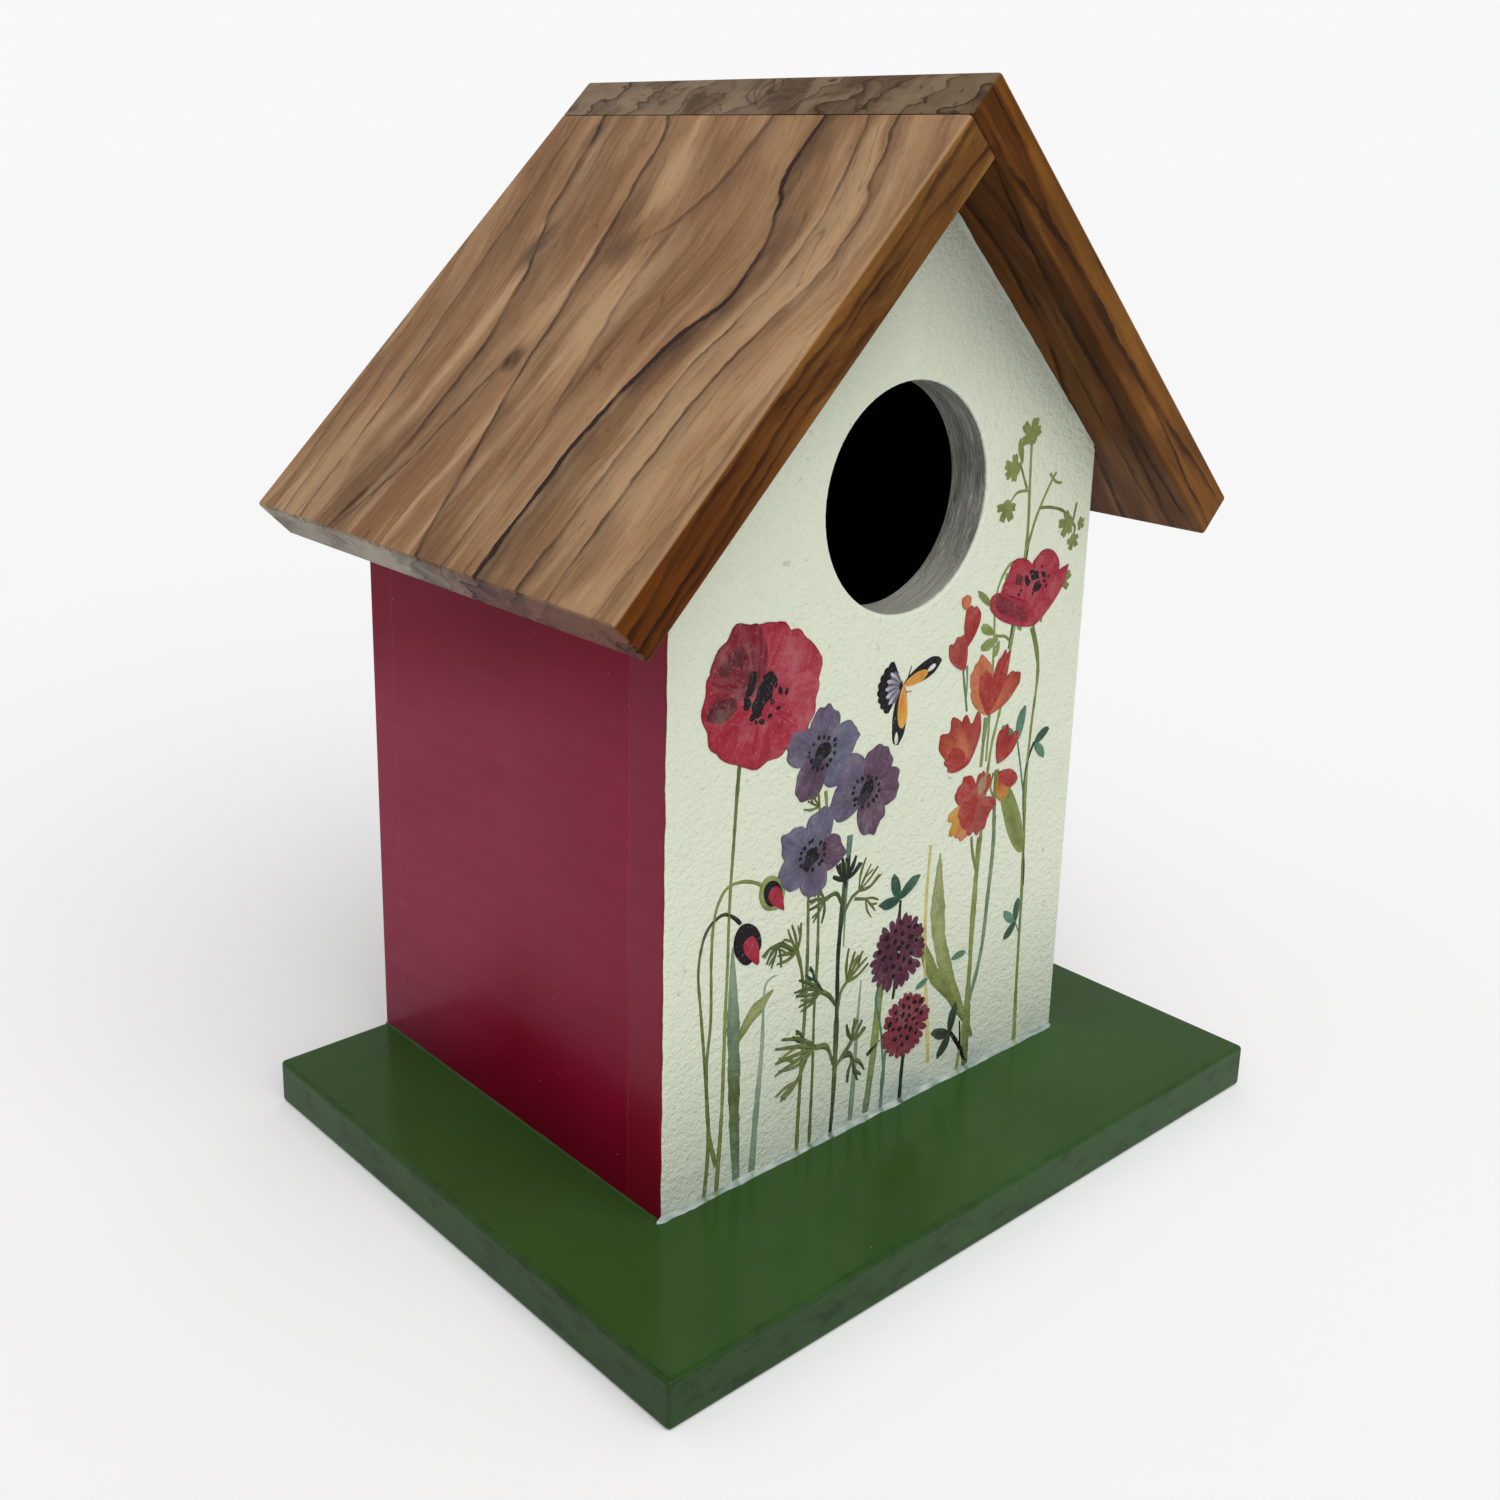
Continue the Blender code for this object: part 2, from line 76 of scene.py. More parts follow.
# ------------------------------------------------------------- node tree helper
class Tree:
    """A material's node tree, built with short calls that return sockets."""

    def __init__(self, name):
        self.material = bpy.data.materials.new(name)
        self.material.use_nodes = True
        self.nodes = self.material.node_tree.nodes
        self.links = self.material.node_tree.links
        self.shader = self.nodes["Principled BSDF"]
        coordinates = self.node("TexCoord")
        self.place = coordinates.outputs["Object"]
        self.normal = coordinates.outputs["Normal"]

    def node(self, kind, **settings):
        made = self.nodes.new("ShaderNode" + kind)
        for name, value in settings.items():
            setattr(made, name, value)
        return made

    def feed(self, socket, value):
        if isinstance(value, bpy.types.NodeSocket):
            self.links.new(value, socket)
        elif isinstance(value, (int, float)) or not hasattr(socket.default_value, "__len__"):
            socket.default_value = value
        else:
            size = len(socket.default_value)
            socket.default_value = (*value, 1.0)[:size] if len(value) < size else value

    def math(self, operation, *values, clamp=False):
        made = self.node("Math", operation=operation, use_clamp=clamp)
        for socket, value in zip(made.inputs, values):
            self.feed(socket, value)
        return made.outputs[0]

    plus = partialmethod(math, "ADD")
    minus = partialmethod(math, "SUBTRACT")
    times = partialmethod(math, "MULTIPLY")
    times_plus = partialmethod(math, "MULTIPLY_ADD")
    least = partialmethod(math, "MINIMUM")
    most = partialmethod(math, "MAXIMUM")
    absolute = partialmethod(math, "ABSOLUTE")

    def vector(self, operation, *values):
        made = self.node("VectorMath", operation=operation)
        for socket, value in zip(made.inputs, values):
            if value is not None:
                self.feed(socket, value)
        single = operation in ("DOT_PRODUCT", "LENGTH", "DISTANCE")
        return made.outputs["Value" if single else "Vector"]

    def combine(self, x, y, z):
        made = self.node("CombineXYZ")
        for socket, value in zip(made.inputs, (x, y, z)):
            self.feed(socket, value)
        return made.outputs[0]

    def split(self, vector):
        made = self.node("SeparateXYZ")
        self.feed(made.inputs[0], vector)
        return made.outputs

    def stretch(self, scales, shift=(0, 0, 0)):
        """Object coordinates multiplied by a scale per axis."""
        return self.vector("ADD", self.vector("MULTIPLY", self.place, scales), shift)

    def noise(self, place, detail=3.0, roughness=0.5, distortion=0.0):
        made = self.node("TexNoise")
        for name, value in (("Vector", place), ("Scale", 1.0), ("Detail", detail),
                            ("Roughness", roughness), ("Distortion", distortion)):
            self.feed(made.inputs[name], value)
        return made.outputs["Fac"]

    def grain(self, scale, **settings):
        """Noise on the object itself; scale is one number, or one per axis."""
        scales = scale if isinstance(scale, tuple) else (scale,) * 3
        return self.noise(self.stretch(scales), **settings)

    def ramp(self, value, low, high):
        """A straight ramp from black at low to white at high."""
        made = self.node("ValToRGB")
        for element, position, grey in zip(made.color_ramp.elements, (low, high), (0.0, 1.0)):
            element.position = position
            element.color = (grey, grey, grey, 1)
        self.feed(made.inputs[0], value)
        return made.outputs["Color"]

    def band(self, value, low, high):
        """0 below low, 1 above high, smooth in between; high may be the smaller."""
        made = self.node("MapRange", interpolation_type="SMOOTHSTEP")
        if low > high:
            return self.math("SUBTRACT", 1.0, self.band(value, high, low))
        for name, number in (("From Min", low), ("From Max", high)):
            made.inputs[name].default_value = number
        self.feed(made.inputs["Value"], value)
        return made.outputs["Result"]

    def curve(self, value, low, high, points):
        """A smooth curve through given (input, output) points, outputs from low to high."""
        made = self.node("FloatCurve")
        first, last = points[0][0], points[-1][0]
        line = made.mapping.curves[0]
        while len(line.points) < len(points):
            line.points.new(0.5, 0.5)
        for point, (x, y) in zip(line.points, points):
            point.location = ((x - first) / (last - first), (y - low) / (high - low))
            point.handle_type = "AUTO_CLAMPED"
        made.mapping.update()
        share = self.math("DIVIDE", self.math("SUBTRACT", value, first), last - first, clamp=True)
        self.feed(made.inputs["Value"], share)
        return self.math("MULTIPLY_ADD", made.outputs[0], high - low, low)

    def mix(self, share, a, b, blend="MIX"):
        """b over a; a Mix node's colour sockets are inputs 6 and 7, and output 2."""
        made = self.node("Mix", data_type="RGBA", blend_type=blend)
        for socket, value in zip((made.inputs["Factor"], *made.inputs[6:8]), (share, a, b)):
            self.feed(socket, value)
        return made.outputs[2]

    def tint(self, tone, factor):
        """A tone multiplied by a colour."""
        return self.mix(1.0, tone, factor, "MULTIPLY")

    def wash(self, tone, colour, mask, strength):
        """A colour laid over a tone where the mask is."""
        return self.mix(self.times(mask, strength), tone, colour)

    def bump(self, height, distance, strength=1.0, normal=None):
        made = self.node("Bump")
        made.inputs["Strength"].default_value = strength
        made.inputs["Distance"].default_value = distance
        self.feed(made.inputs["Height"], height)
        if normal:
            self.feed(made.inputs["Normal"], normal)
        return made.outputs[0]

    def surface(self, colour, roughness, normal=None, **settings):
        """Feeds the shader; settings are uniform values by socket name."""
        self.feed(self.shader.inputs["Base Color"], colour)
        self.feed(self.shader.inputs["Roughness"], roughness)
        if normal:
            self.feed(self.shader.inputs["Normal"], normal)
        for name, value in settings.items():
            self.shader.inputs[name.replace("_", " ")].default_value = value
        return self.material


# -------------------------------------------------------------------- materials
# near-black painted shade for the faces inside the nest cavity
PAINTED_CAVITY_SHADE = (0.012, 0.010, 0.009)
DUST = (0.75, 0.70, 0.66)
CRIMSON = (0.186, 0.0024, 0.020)
CRIMSON_DEEP = (0.150, 0.0016, 0.012)
CRIMSON_EDGE = (0.170, 0.0020, 0.015)       # the front panel's side edges
# painted reflection, laid over the side walls half way up
CRIMSON_PAINTED_REFLECTION = (0.68, 0.17, 0.30)
# painted shade at the walls' foot
CRIMSON_PAINTED_FOOT_SHADE = (0.45, 0.40, 0.40)           # multiplies the walls' foot
# painted highlight: the seams' crimson is lighter than the walls'
SEAM_HIGHLIGHT_CRIMSON = (0.222, 0.014, 0.036)
SEAM_HIGHLIGHT_DEEP = (0.172, 0.005, 0.020)
GREEN = (0.038, 0.092, 0.022)
GREEN_DEEP = (0.030, 0.074, 0.016)
GREEN_EDGE = (0.024, 0.066, 0.016)          # the base's sawn edges
GREEN_SCUFF = (0.058, 0.102, 0.042)
GREEN_STAIN = (0.55, 0.60, 0.56)            # these two multiply the edges
# painted shade, multiplied into the edges near the front left corner
GREEN_PAINTED_SHADE = (0.50, 0.50, 0.40)
CREAM = (0.70, 0.745, 0.60)
CREAM_DULL = (0.62, 0.665, 0.525)
CREAM_SMUDGE = (0.50, 0.54, 0.42)
CREAM_SPECK = (0.36, 0.38, 0.32)
# painted shade, for the three below: up under the roof, near the base and at the sealant
CREAM_PAINTED_ROOF_SHADE = (0.40, 0.42, 0.34)          # up under the roof
CREAM_PAINTED_LOW_SHADE = (0.40, 0.45, 0.37)              # near the base
CREAM_PAINTED_FOOT_SHADE = (0.34, 0.42, 0.42)             # at the sealant
# painted highlight along the entrance's rim
CREAM_RIM_HIGHLIGHT = (0.80, 0.83, 0.72)
CHIP = (0.74, 0.70, 0.66)
FIBRE_PALE = (0.60, 0.605, 0.54)            # the wall of the entrance
FIBRE_DARK = (0.27, 0.275, 0.24)
# painted light on the hole wall's lower side
FIBRE_LIT = (0.64, 0.65, 0.56)
FIBRE_STAIN = (0.66, 0.66, 0.64)
TEAK_LIGHT = (0.470, 0.300, 0.163)
TEAK_TAN = (0.350, 0.203, 0.104)
TEAK_BROWN = (0.262, 0.138, 0.067)
TEAK_SHADE = (0.155, 0.075, 0.033)
TEAK_LINE = (0.036, 0.019, 0.015)
# painted shade on the roof boards' undersides, deepest under the ridge
UNDER_EAVE = (0.62, 0.50, 0.36, 1)          # these two multiply the undersides
UNDER_RIDGE = (0.38, 0.24, 0.10, 1)
BEECH_BROWN = (0.50, 0.33, 0.19)
BEECH_PALE = (0.68, 0.50, 0.32)
ZINC_GREY = (0.50, 0.50, 0.50)
ZINC_PALE = (0.74, 0.74, 0.72)
SEALANT_CLOUD = (0.80, 0.84, 0.84)          # multiplies the sealant
ROOF_EDGE = (ROOF_FRONT_Y - FRONT_Y) / MM   # front end of the roof boards, across the grain


def cavity_painted_shade_mask(t):
    """1 on the faces that look into the nest cavity, where near-black painted shade goes, 0 outside."""
    x, y, z = t.split(t.place)
    edge = 0.6 * MM
    inward = t.math("LESS_THAN", t.absolute(x), CAVITY_HALF + edge)
    behind = t.math("GREATER_THAN", y, FRONT_Y + PANEL_THICKNESS - edge)
    before = t.math("LESS_THAN", y, back_low.y + edge)
    above = t.math("GREATER_THAN", z, FLOOR_Z - edge)
    return t.times(t.times(inward, behind), t.times(before, above))


def base_rim_distance(t):
    """How far inside the base board's outline a place lies."""
    x, y, _ = t.split(t.place)
    in_x = t.minus(base_high.x, t.absolute(x))
    in_y = t.least(t.minus(y, base_low.y), t.minus(base_high.y, y))
    return t.least(in_x, in_y)


def side_painted_reflection(t, tone, painted_reflection):
    """Painted shade at the side walls' foot, a milky painted reflection half way up, less under the eaves.
    """
    sideways = t.band(t.absolute(t.split(t.normal)[0]), 0.35, 0.80)
    depth, height = t.split(t.place)[1:]
    behind = t.most(t.minus(depth, 12 * MM), 0.0)
    above_foot = t.times_plus(behind, 0.8, height)
    below_eaves = t.times_plus(depth, 0.19, height)
    # painted reflection: strongest half way up, less under the eaves
    risen = t.band(above_foot, FLOOR_Z + 16 * MM, FLOOR_Z + 66 * MM)
    risen = t.times(risen, t.times_plus(depth, 6.0, 0.92, clamp=True))
    open_sky = t.times_plus(t.band(below_eaves, SHOULDER_Z - 43 * MM, SHOULDER_Z - 73 * MM), 0.74, 0.26)
    brushed = t.grain((26, 26, 230), detail=4, roughness=0.6)
    uneven = t.times_plus(brushed, 0.6, 0.70)
    milky = t.times(t.times(risen, open_sky), t.times(sideways, uneven))
    # painted shade at the foot of the walls
    foot = t.times(t.band(height, FLOOR_Z + 24 * MM, FLOOR_Z + 2 * MM), sideways)
    tone = t.wash(tone, t.tint(tone, CRIMSON_PAINTED_FOOT_SHADE), foot, 0.35)
    return t.wash(tone, CRIMSON_PAINTED_REFLECTION, milky, painted_reflection)


def gloss_paint(name, colour, deep, roughness, shine, brush_scale, edge_tone=None, painted_reflection=0.0):
    """Brushed gloss paint on wood: cloudy tone, brush lines, specks and nibs.

    edge_tone, where given, is the duller, mottled tone of the sawn edges,
    darkened by painted shade towards the base's front left corner; bloom
    is the strength of the painted reflection that makes the side walls'
    gloss milky half way up.
    """
    t = Tree(name)
    cloud = t.grain(22, detail=4)
    brush = t.grain(brush_scale, detail=4, roughness=0.6)
    tone = t.mix(t.ramp(cloud, 0.30, 0.72), deep, colour)
    tone = t.wash(tone, deep, t.band(brush, 0.50, 0.72), 0.16)
    speck = t.band(t.grain(520, detail=1), 0.80, 0.84)
    tone = t.wash(tone, DUST, speck, 0.14)
    gloss = t.times_plus(cloud, 0.10, roughness - 0.05)
    if edge_tone:
        upright = t.band(t.absolute(t.split(t.normal)[2]), 0.80, 0.35)
        mottle = t.grain((120, 120, 260), detail=6, roughness=0.72)
        edge = t.mix(t.band(mottle, 0.46, 0.66), edge_tone, t.tint(edge_tone, GREEN_STAIN))
        edge = t.wash(edge, GREEN_SCUFF, t.band(mottle, 0.42, 0.28), 0.30)
        # painted shade: the edges darken towards the base's front left corner
        from_corner = t.vector("DISTANCE", t.place, (base_low.x, base_low.y, 0))
        corner_painted_shade = t.times(t.band(from_corner, 150 * MM, 0.0), 0.45)
        edge = t.mix(corner_painted_shade, edge, t.tint(edge, GREEN_PAINTED_SHADE))
        from_rim = t.minus(base_rim_distance(t), t.times_plus(mottle, 3.4 * MM, -1.7 * MM))
        rim = t.times(t.band(from_rim, 1.9 * MM, 0.3 * MM), 0.6)
        tone = t.mix(t.most(upright, rim), tone, edge)
        gloss = t.times_plus(upright, 0.16, gloss)
        brush = t.times_plus(t.times(mottle, upright), 6.0, brush)
    # painted reflection and painted shade on the side walls
    if painted_reflection:
        tone = side_painted_reflection(t, tone, painted_reflection)
    # painted shade: faces inside the nest cavity go near-black
    tone = t.mix(cavity_painted_shade_mask(t), tone, PAINTED_CAVITY_SHADE)
    waves = t.grain((28, 28, 16), detail=2)
    normal = t.bump(waves, 0.9 * MM, 0.30)
    normal = t.bump(brush, 0.05 * MM, 0.6, normal)
    normal = t.bump(speck, 0.12 * MM, 0.6, normal)
    return t.surface(tone, gloss, normal, Specular_IOR_Level=shine)


def crimson(name="crimson_gloss_paint", colour=CRIMSON, deep=CRIMSON_DEEP):
    return gloss_paint(name, colour, deep, 0.20, 0.04, (420, 60, 330), painted_reflection=0.165)


def green():
    return gloss_paint("green_gloss_paint", GREEN, GREEN_DEEP, 0.20, 0.14, (60, 420, 420), GREEN_EDGE)


def stipple(t):
    """Height of the finely stippled paint on the front."""
    grain = t.grain(1250, detail=2, roughness=0.60)
    dabs = t.noise(t.stretch((560, 560, 640), (3, 5, 1)), detail=1)
    swell = t.grain(150, detail=1)
    return t.plus(t.times_plus(dabs, 1.0, grain), t.times(swell, 0.7))


def entrance_polar(t, x, z):
    """Distance from the middle of the entrance, and the angle round it."""
    across = t.minus(x, ENTRANCE_X)
    above = t.minus(z, ENTRANCE_Z)
    far = t.math("SQRT", t.plus(t.times(across, across), t.times(above, above)))
    return far, t.math("ARCTAN2", above, across)


def cream_face(t, x, z):
    """The face's colour: cloudy and smudged, with painted shade under the roof, towards the base and at the
    foot.
    """
    cloud = t.grain(14, detail=4)
    face = t.mix(cloud, CREAM_DULL, CREAM)
    smudge = t.band(t.grain(75, detail=5, roughness=0.65), 0.58, 0.74)
    face = t.wash(face, CREAM_SMUDGE, smudge, 0.22)
    speck = t.band(t.grain(330, detail=2), 0.72, 0.78)
    face = t.wash(face, CREAM_SPECK, speck, 0.5)
    # painted shade up under the roof
    below_roof = t.minus(t.minus(APEX_Z, z), t.absolute(x))
    painted_roof_shade = t.times(t.band(below_roof, 62 * MM, 4 * MM),
                      t.band(z, SHOULDER_Z - 12 * MM, SHOULDER_Z + 26 * MM))
    face = t.wash(face, CREAM_PAINTED_ROOF_SHADE, painted_roof_shade, 0.62)
    # painted shade towards the base, and a blotchy painted shade at the foot
    low = t.times(t.band(z, FLOOR_Z + 60 * MM, FLOOR_Z), 0.46)
    face = t.mix(low, face, CREAM_PAINTED_LOW_SHADE)
    foot = t.times(t.band(z, FLOOR_Z + 12 * MM, FLOOR_Z + 1 * MM),
                  t.band(t.grain(60), 0.35, 0.65))
    return t.wash(face, CREAM_PAINTED_FOOT_SHADE, foot, 0.75)


def fibrous_wall(t, y, z, angle):
    """The entrance's bare wall: its fibres, and its colour, with painted light on its lower side."""
    around = t.combine(t.times(angle, 3.4), t.times(y, 1400), 0.0)
    fibres = t.noise(around, detail=5, roughness=0.72, distortion=1.0)
    patches = t.noise(t.combine(t.times(angle, 2.0), t.times(y, 260), 3.0))
    wall = t.mix(t.ramp(fibres, 0.36, 0.62), FIBRE_DARK, FIBRE_PALE)
    wall = t.mix(t.band(patches, 0.35, 0.65), wall, t.tint(wall, FIBRE_STAIN))
    # painted light: the lower side of the hole wall is paler
    painted_light_below = t.band(z, ENTRANCE_Z - 12 * MM, ENTRANCE_Z - 26 * MM)
    return fibres, t.wash(wall, FIBRE_LIT, painted_light_below, 0.70)


def cream_front():
    """The front panel: stippled cream face, crimson side edges with painted reflection,
    fibrous hole wall with a painted highlight on its rim.
    """
    t = Tree("cream_stippled_paint")
    x, y, z = t.split(t.place)
    face = cream_face(t, x, z)
    wobble = t.times(t.minus(t.grain(150, detail=4), 0.5), 0.45 * MM)
    past_edge = t.minus(t.absolute(x), HALF_WIDTH - 0.35 * MM)
    edge = t.band(t.plus(past_edge, wobble), 0.0, 0.14 * MM)
    # the crimson edges take the side walls' painted reflection and painted foot shade
    tone = t.mix(edge, face, side_painted_reflection(t, CRIMSON_EDGE, 0.125))
    chips = t.times(t.band(t.grain((260, 260, 90), detail=2), 0.66, 0.70),
                   t.band(t.absolute(t.minus(past_edge, 0.3 * MM)), 0.5 * MM, 0.1 * MM))
    chips = t.times(chips, t.math("LESS_THAN", y, FRONT_Y + 0.75 * MM))
    tone = t.wash(tone, CHIP, chips, 0.8)

    far, angle = entrance_polar(t, x, z)
    behind_face = t.band(y, FRONT_Y + 0.25 * MM, FRONT_Y + 0.8 * MM)
    in_hole = t.times(behind_face, t.math("LESS_THAN", far, ENTRANCE_RADIUS + 3 * MM))
    fibres, wall = fibrous_wall(t, y, z, angle)
    tone = t.mix(in_hole, tone, wall)
    # painted highlight: a pale line round the entrance's rim
    rim_highlight = t.times(t.band(y, FRONT_Y + 1.0 * MM, FRONT_Y + 0.5 * MM),
                 t.band(far, ENTRANCE_RADIUS + 0.9 * MM, ENTRANCE_RADIUS + 0.5 * MM))
    tone = t.wash(tone, CREAM_RIM_HIGHLIGHT, rim_highlight, 0.35)
    # painted shade: faces inside the nest cavity go near-black
    tone = t.mix(cavity_painted_shade_mask(t), tone, PAINTED_CAVITY_SHADE)

    on_face = t.minus(1.0, edge)
    normal = t.bump(t.times(stipple(t), on_face), 0.41 * MM)
    normal = t.bump(t.times(fibres, in_hole), 1.0 * MM, 1.0, normal)
    roughness = t.times_plus(edge, -0.32, 0.54)
    return t.surface(tone, roughness, normal, Specular_IOR_Level=0.10)


def growth_line(t, a, ring, points, strength, width=0.8, tail=4.0):
    """Darkness of one late-wood line: crisp on one side, fading on the other.

    points are (a, ring) in millimetres; a line that starts or stops inside
    the board fades out there.
    """
    places = [p[0] for p in points]
    levels = [p[1] for p in points]
    course = t.curve(a, min(levels) - 1, max(levels) + 1, points)
    offset = t.minus(ring, course)
    crisp = t.band(offset, width * 0.8, -width * 0.1)
    core = t.math("POWER", t.band(offset, -3.0 * width, -0.3 * width), 1.5)
    shading = t.times(t.math("POWER", t.band(offset, -2.4 * tail, 0.0), 1.4), 0.48)
    dark = t.times(t.times(crisp, t.most(core, shading)), strength)
    if places[0] > 0:
        dark = t.times(dark, t.band(a, places[0] - 4, places[0] + 16))
    if places[-1] < 125:
        dark = t.times(dark, t.band(a, places[-1] + 4, places[-1] - 16))
    return dark


def blotch(t, a, ring, centre, reach):
    """A soft dark patch, as beside a knot."""
    da = t.math("DIVIDE", t.minus(a, centre[0]), reach[0])
    dr = t.math("DIVIDE", t.minus(ring, centre[1]), reach[1])
    far = t.math("SQRT", t.plus(t.times(da, da), t.times(dr, dr)))
    return t.band(far, 1.0, 0.15)


def teak_rings(t, a, c, depth, end_grain, seed):
    """Across the grain, swaying a little along the board and curling on the end grain."""
    curl = t.noise(t.combine(t.times(c, 0.075), t.times(depth, 0.15), seed), detail=2)
    curl = t.times(t.minus(curl, 0.5), t.times_plus(end_grain, 26.0, 2.0))
    shiver_place = t.combine(t.times(a, 0.07), t.times(c, 0.20), t.times(depth, 0.30))
    shiver = t.minus(t.noise(t.vector("ADD", shiver_place, (seed, 0, 0)), detail=4, roughness=0.6), 0.5)
    return t.plus(t.plus(c, depth), t.plus(curl, t.times(shiver, 3.6)))


def teak_lines(t, a, ring, lines, seed):
    """The late-wood lines, and the fading that they share with the blotches."""
    line = 0.0
    for points, strength, *shape in lines:
        line = t.most(line, growth_line(t, a, ring, points, strength, *shape))
    fade = t.noise(t.combine(t.times(a, 0.05), t.times(ring, 0.12), seed))
    return t.times(line, t.times_plus(t.band(fade, 0.34, 0.58), 0.52, 0.48)), fade


def teak_flow(t, a, ring, depth, flow):
    """The place in the wood that the fine streaks follow, between two given lines."""
    first = t.curve(a, -40, 130, flow[0])
    second = t.curve(a, -40, 130, flow[1])
    between = t.band(ring, flow[0][0][1], flow[1][0][1])
    first = t.minus(first, flow[0][0][1])
    second = t.minus(second, flow[1][0][1])
    drift = t.plus(t.times(first, t.minus(1.0, between)), t.times(second, between))
    across_flow = t.minus(ring, drift)
    return t.combine(a, across_flow, depth)


def teak(name, origin, along, across, out, lines, blotches, pale, flow, seed, edge_tints, end_tone_and_reflection,
         arris_wear_and_highlight_at=None):
    """Varnished teak sawn through its growth rings.

    a runs along the grain, ring across it; the rings lean through the
    board's thickness, so faces, edges and end grain show the same lines.
    blotches are dark patches and pale ones light, each (centre, reach,
    strength); flow is the pair of lines that the fine streaks follow;
    edge_tints are multiplied into the long edges, near and far, and
    end_tone_and_reflection into the end grain, front and back, for its own tone and a
    painted grey reflection; arris_wear_and_highlight_at is where, across the grain, an arris
    is painted pale, as wear and as a painted highlight. The undersides
    are darkened by painted shade, most towards the ridge.
    """
    t = Tree(name)
    along, across, out = Vector(along), Vector(across), Vector(out)
    local = t.vector("SCALE", t.vector("SUBTRACT", t.place, origin), None, None, 1 / MM)
    a = t.vector("DOT_PRODUCT", local, along)
    c = t.vector("DOT_PRODUCT", local, across)
    depth = t.vector("DOT_PRODUCT", local, out)
    end_grain = t.band(t.absolute(t.vector("DOT_PRODUCT", t.normal, along)), 0.55, 0.80)
    side_edge = t.band(t.absolute(t.vector("DOT_PRODUCT", t.normal, across)), 0.55, 0.80)

    ring = teak_rings(t, a, c, depth, end_grain, seed)
    line, fade = teak_lines(t, a, ring, lines, seed)
    for centre, reach, strength in blotches:
        patch = t.times(blotch(t, a, ring, centre, reach), strength)
        line = t.most(line, t.times(patch, t.band(fade, 0.20, 0.50)))
    flowing = teak_flow(t, a, ring, depth, flow)
    cloud = t.noise(t.vector("MULTIPLY", flowing, (0.020, 0.045, 0.04)), roughness=0.55)
    bands = t.noise(t.vector("ADD", t.vector("MULTIPLY", flowing, (0.011, 0.10, 0.10)), (seed, 3, 0)))
    contour = t.noise(t.vector("ADD", t.vector("MULTIPLY", flowing, (0.004, 0.06, 0.06)), (seed, 8, 2)),
                      detail=1)
    contour = t.absolute(t.math("SINE", t.times(contour, 58.0)))
    streak = t.noise(t.vector("MULTIPLY", flowing, (0.045, 0.85, 0.85)), detail=6, roughness=0.66)
    pores = t.noise(t.vector("ADD", t.vector("MULTIPLY", flowing, (0.24, 3.4, 3.4)), (7, 1, seed)),
                    detail=2)
    pore = t.times(t.band(pores, 0.62, 0.72), t.minus(1.0, end_grain))

    light = t.band(cloud, 0.38, 0.60)
    for centre, reach, strength in pale:
        light = t.times_plus(blotch(t, a, ring, centre, reach), strength, light)
    tone = t.mix(t.least(light, 1.0), TEAK_BROWN, TEAK_TAN)
    tone = t.wash(tone, TEAK_LIGHT, t.band(light, 0.85, 1.8), 0.75)
    tone = t.wash(tone, TEAK_SHADE, t.band(bands, 0.50, 0.66), 0.52)
    tone = t.wash(tone, TEAK_LIGHT, t.band(bands, 0.48, 0.36), 0.85)
    tone = t.wash(tone, TEAK_SHADE, t.band(streak, 0.50, 0.68), 0.36)
    tone = t.wash(tone, TEAK_LIGHT, t.band(streak, 0.48, 0.32), 0.34)
    thin_line = t.times(t.band(contour, 0.15, 0.0), t.band(cloud, 0.58, 0.44))
    tone = t.wash(tone, TEAK_LINE, thin_line, 0.36)
    tone = t.wash(tone, TEAK_LINE, pore, 0.40)
    curly = t.noise(t.combine(t.times(c, 0.050), t.times(depth, 0.034), seed + 4), distortion=1.6)
    figure = t.band(curly, 0.42, 0.60)
    tone = t.wash(tone, TEAK_LIGHT, figure, t.times(end_grain, 0.75))
    veins = t.band(t.absolute(t.math("SINE", t.times(curly, 19.0))), 0.24, 0.0)
    tone = t.wash(tone, TEAK_LINE, veins, t.times(end_grain, 0.50))
    tone = t.wash(tone, TEAK_LINE, line, 0.96)
    underneath = t.band(t.vector("DOT_PRODUCT", t.normal, out), -0.55, -0.80)
    edge_near, edge_far = (t.tint(tone, tint) for tint in edge_tints)
    tone = t.mix(side_edge, tone, t.mix(t.band(a, 20, 125), edge_near, edge_far))
    # painted shade: the undersides darken, most towards the ridge
    underside_painted_shade = t.mix(t.band(a, 92, 112), UNDER_RIDGE, UNDER_EAVE)
    tone = t.mix(underneath, tone, t.tint(tone, underside_painted_shade))
    # the end grain's own tone with a painted grey reflection
    end_front, end_back = (t.tint(tone, tint) for tint in end_tone_and_reflection)
    tone = t.mix(end_grain, tone, t.mix(t.band(c, 25, 65), end_front, end_back))
    # a pale line along the arris: wear, and a painted highlight
    if arris_wear_and_highlight_at is not None:
        arris_wear_and_highlight = t.times(t.band(c, arris_wear_and_highlight_at + 0.9, arris_wear_and_highlight_at + 0.2), t.band(depth, -0.9, -0.2))
        tone = t.wash(tone, TEAK_LIGHT, arris_wear_and_highlight, 0.55)

    height = t.minus(t.times(streak, 0.35), pore)
    height = t.minus(height, t.times(line, 0.5))
    gloss = t.times_plus(bands, 0.18, 0.28)
    return t.surface(tone, gloss, t.bump(height, 0.04 * MM, 0.7), Specular_IOR_Level=0.05)


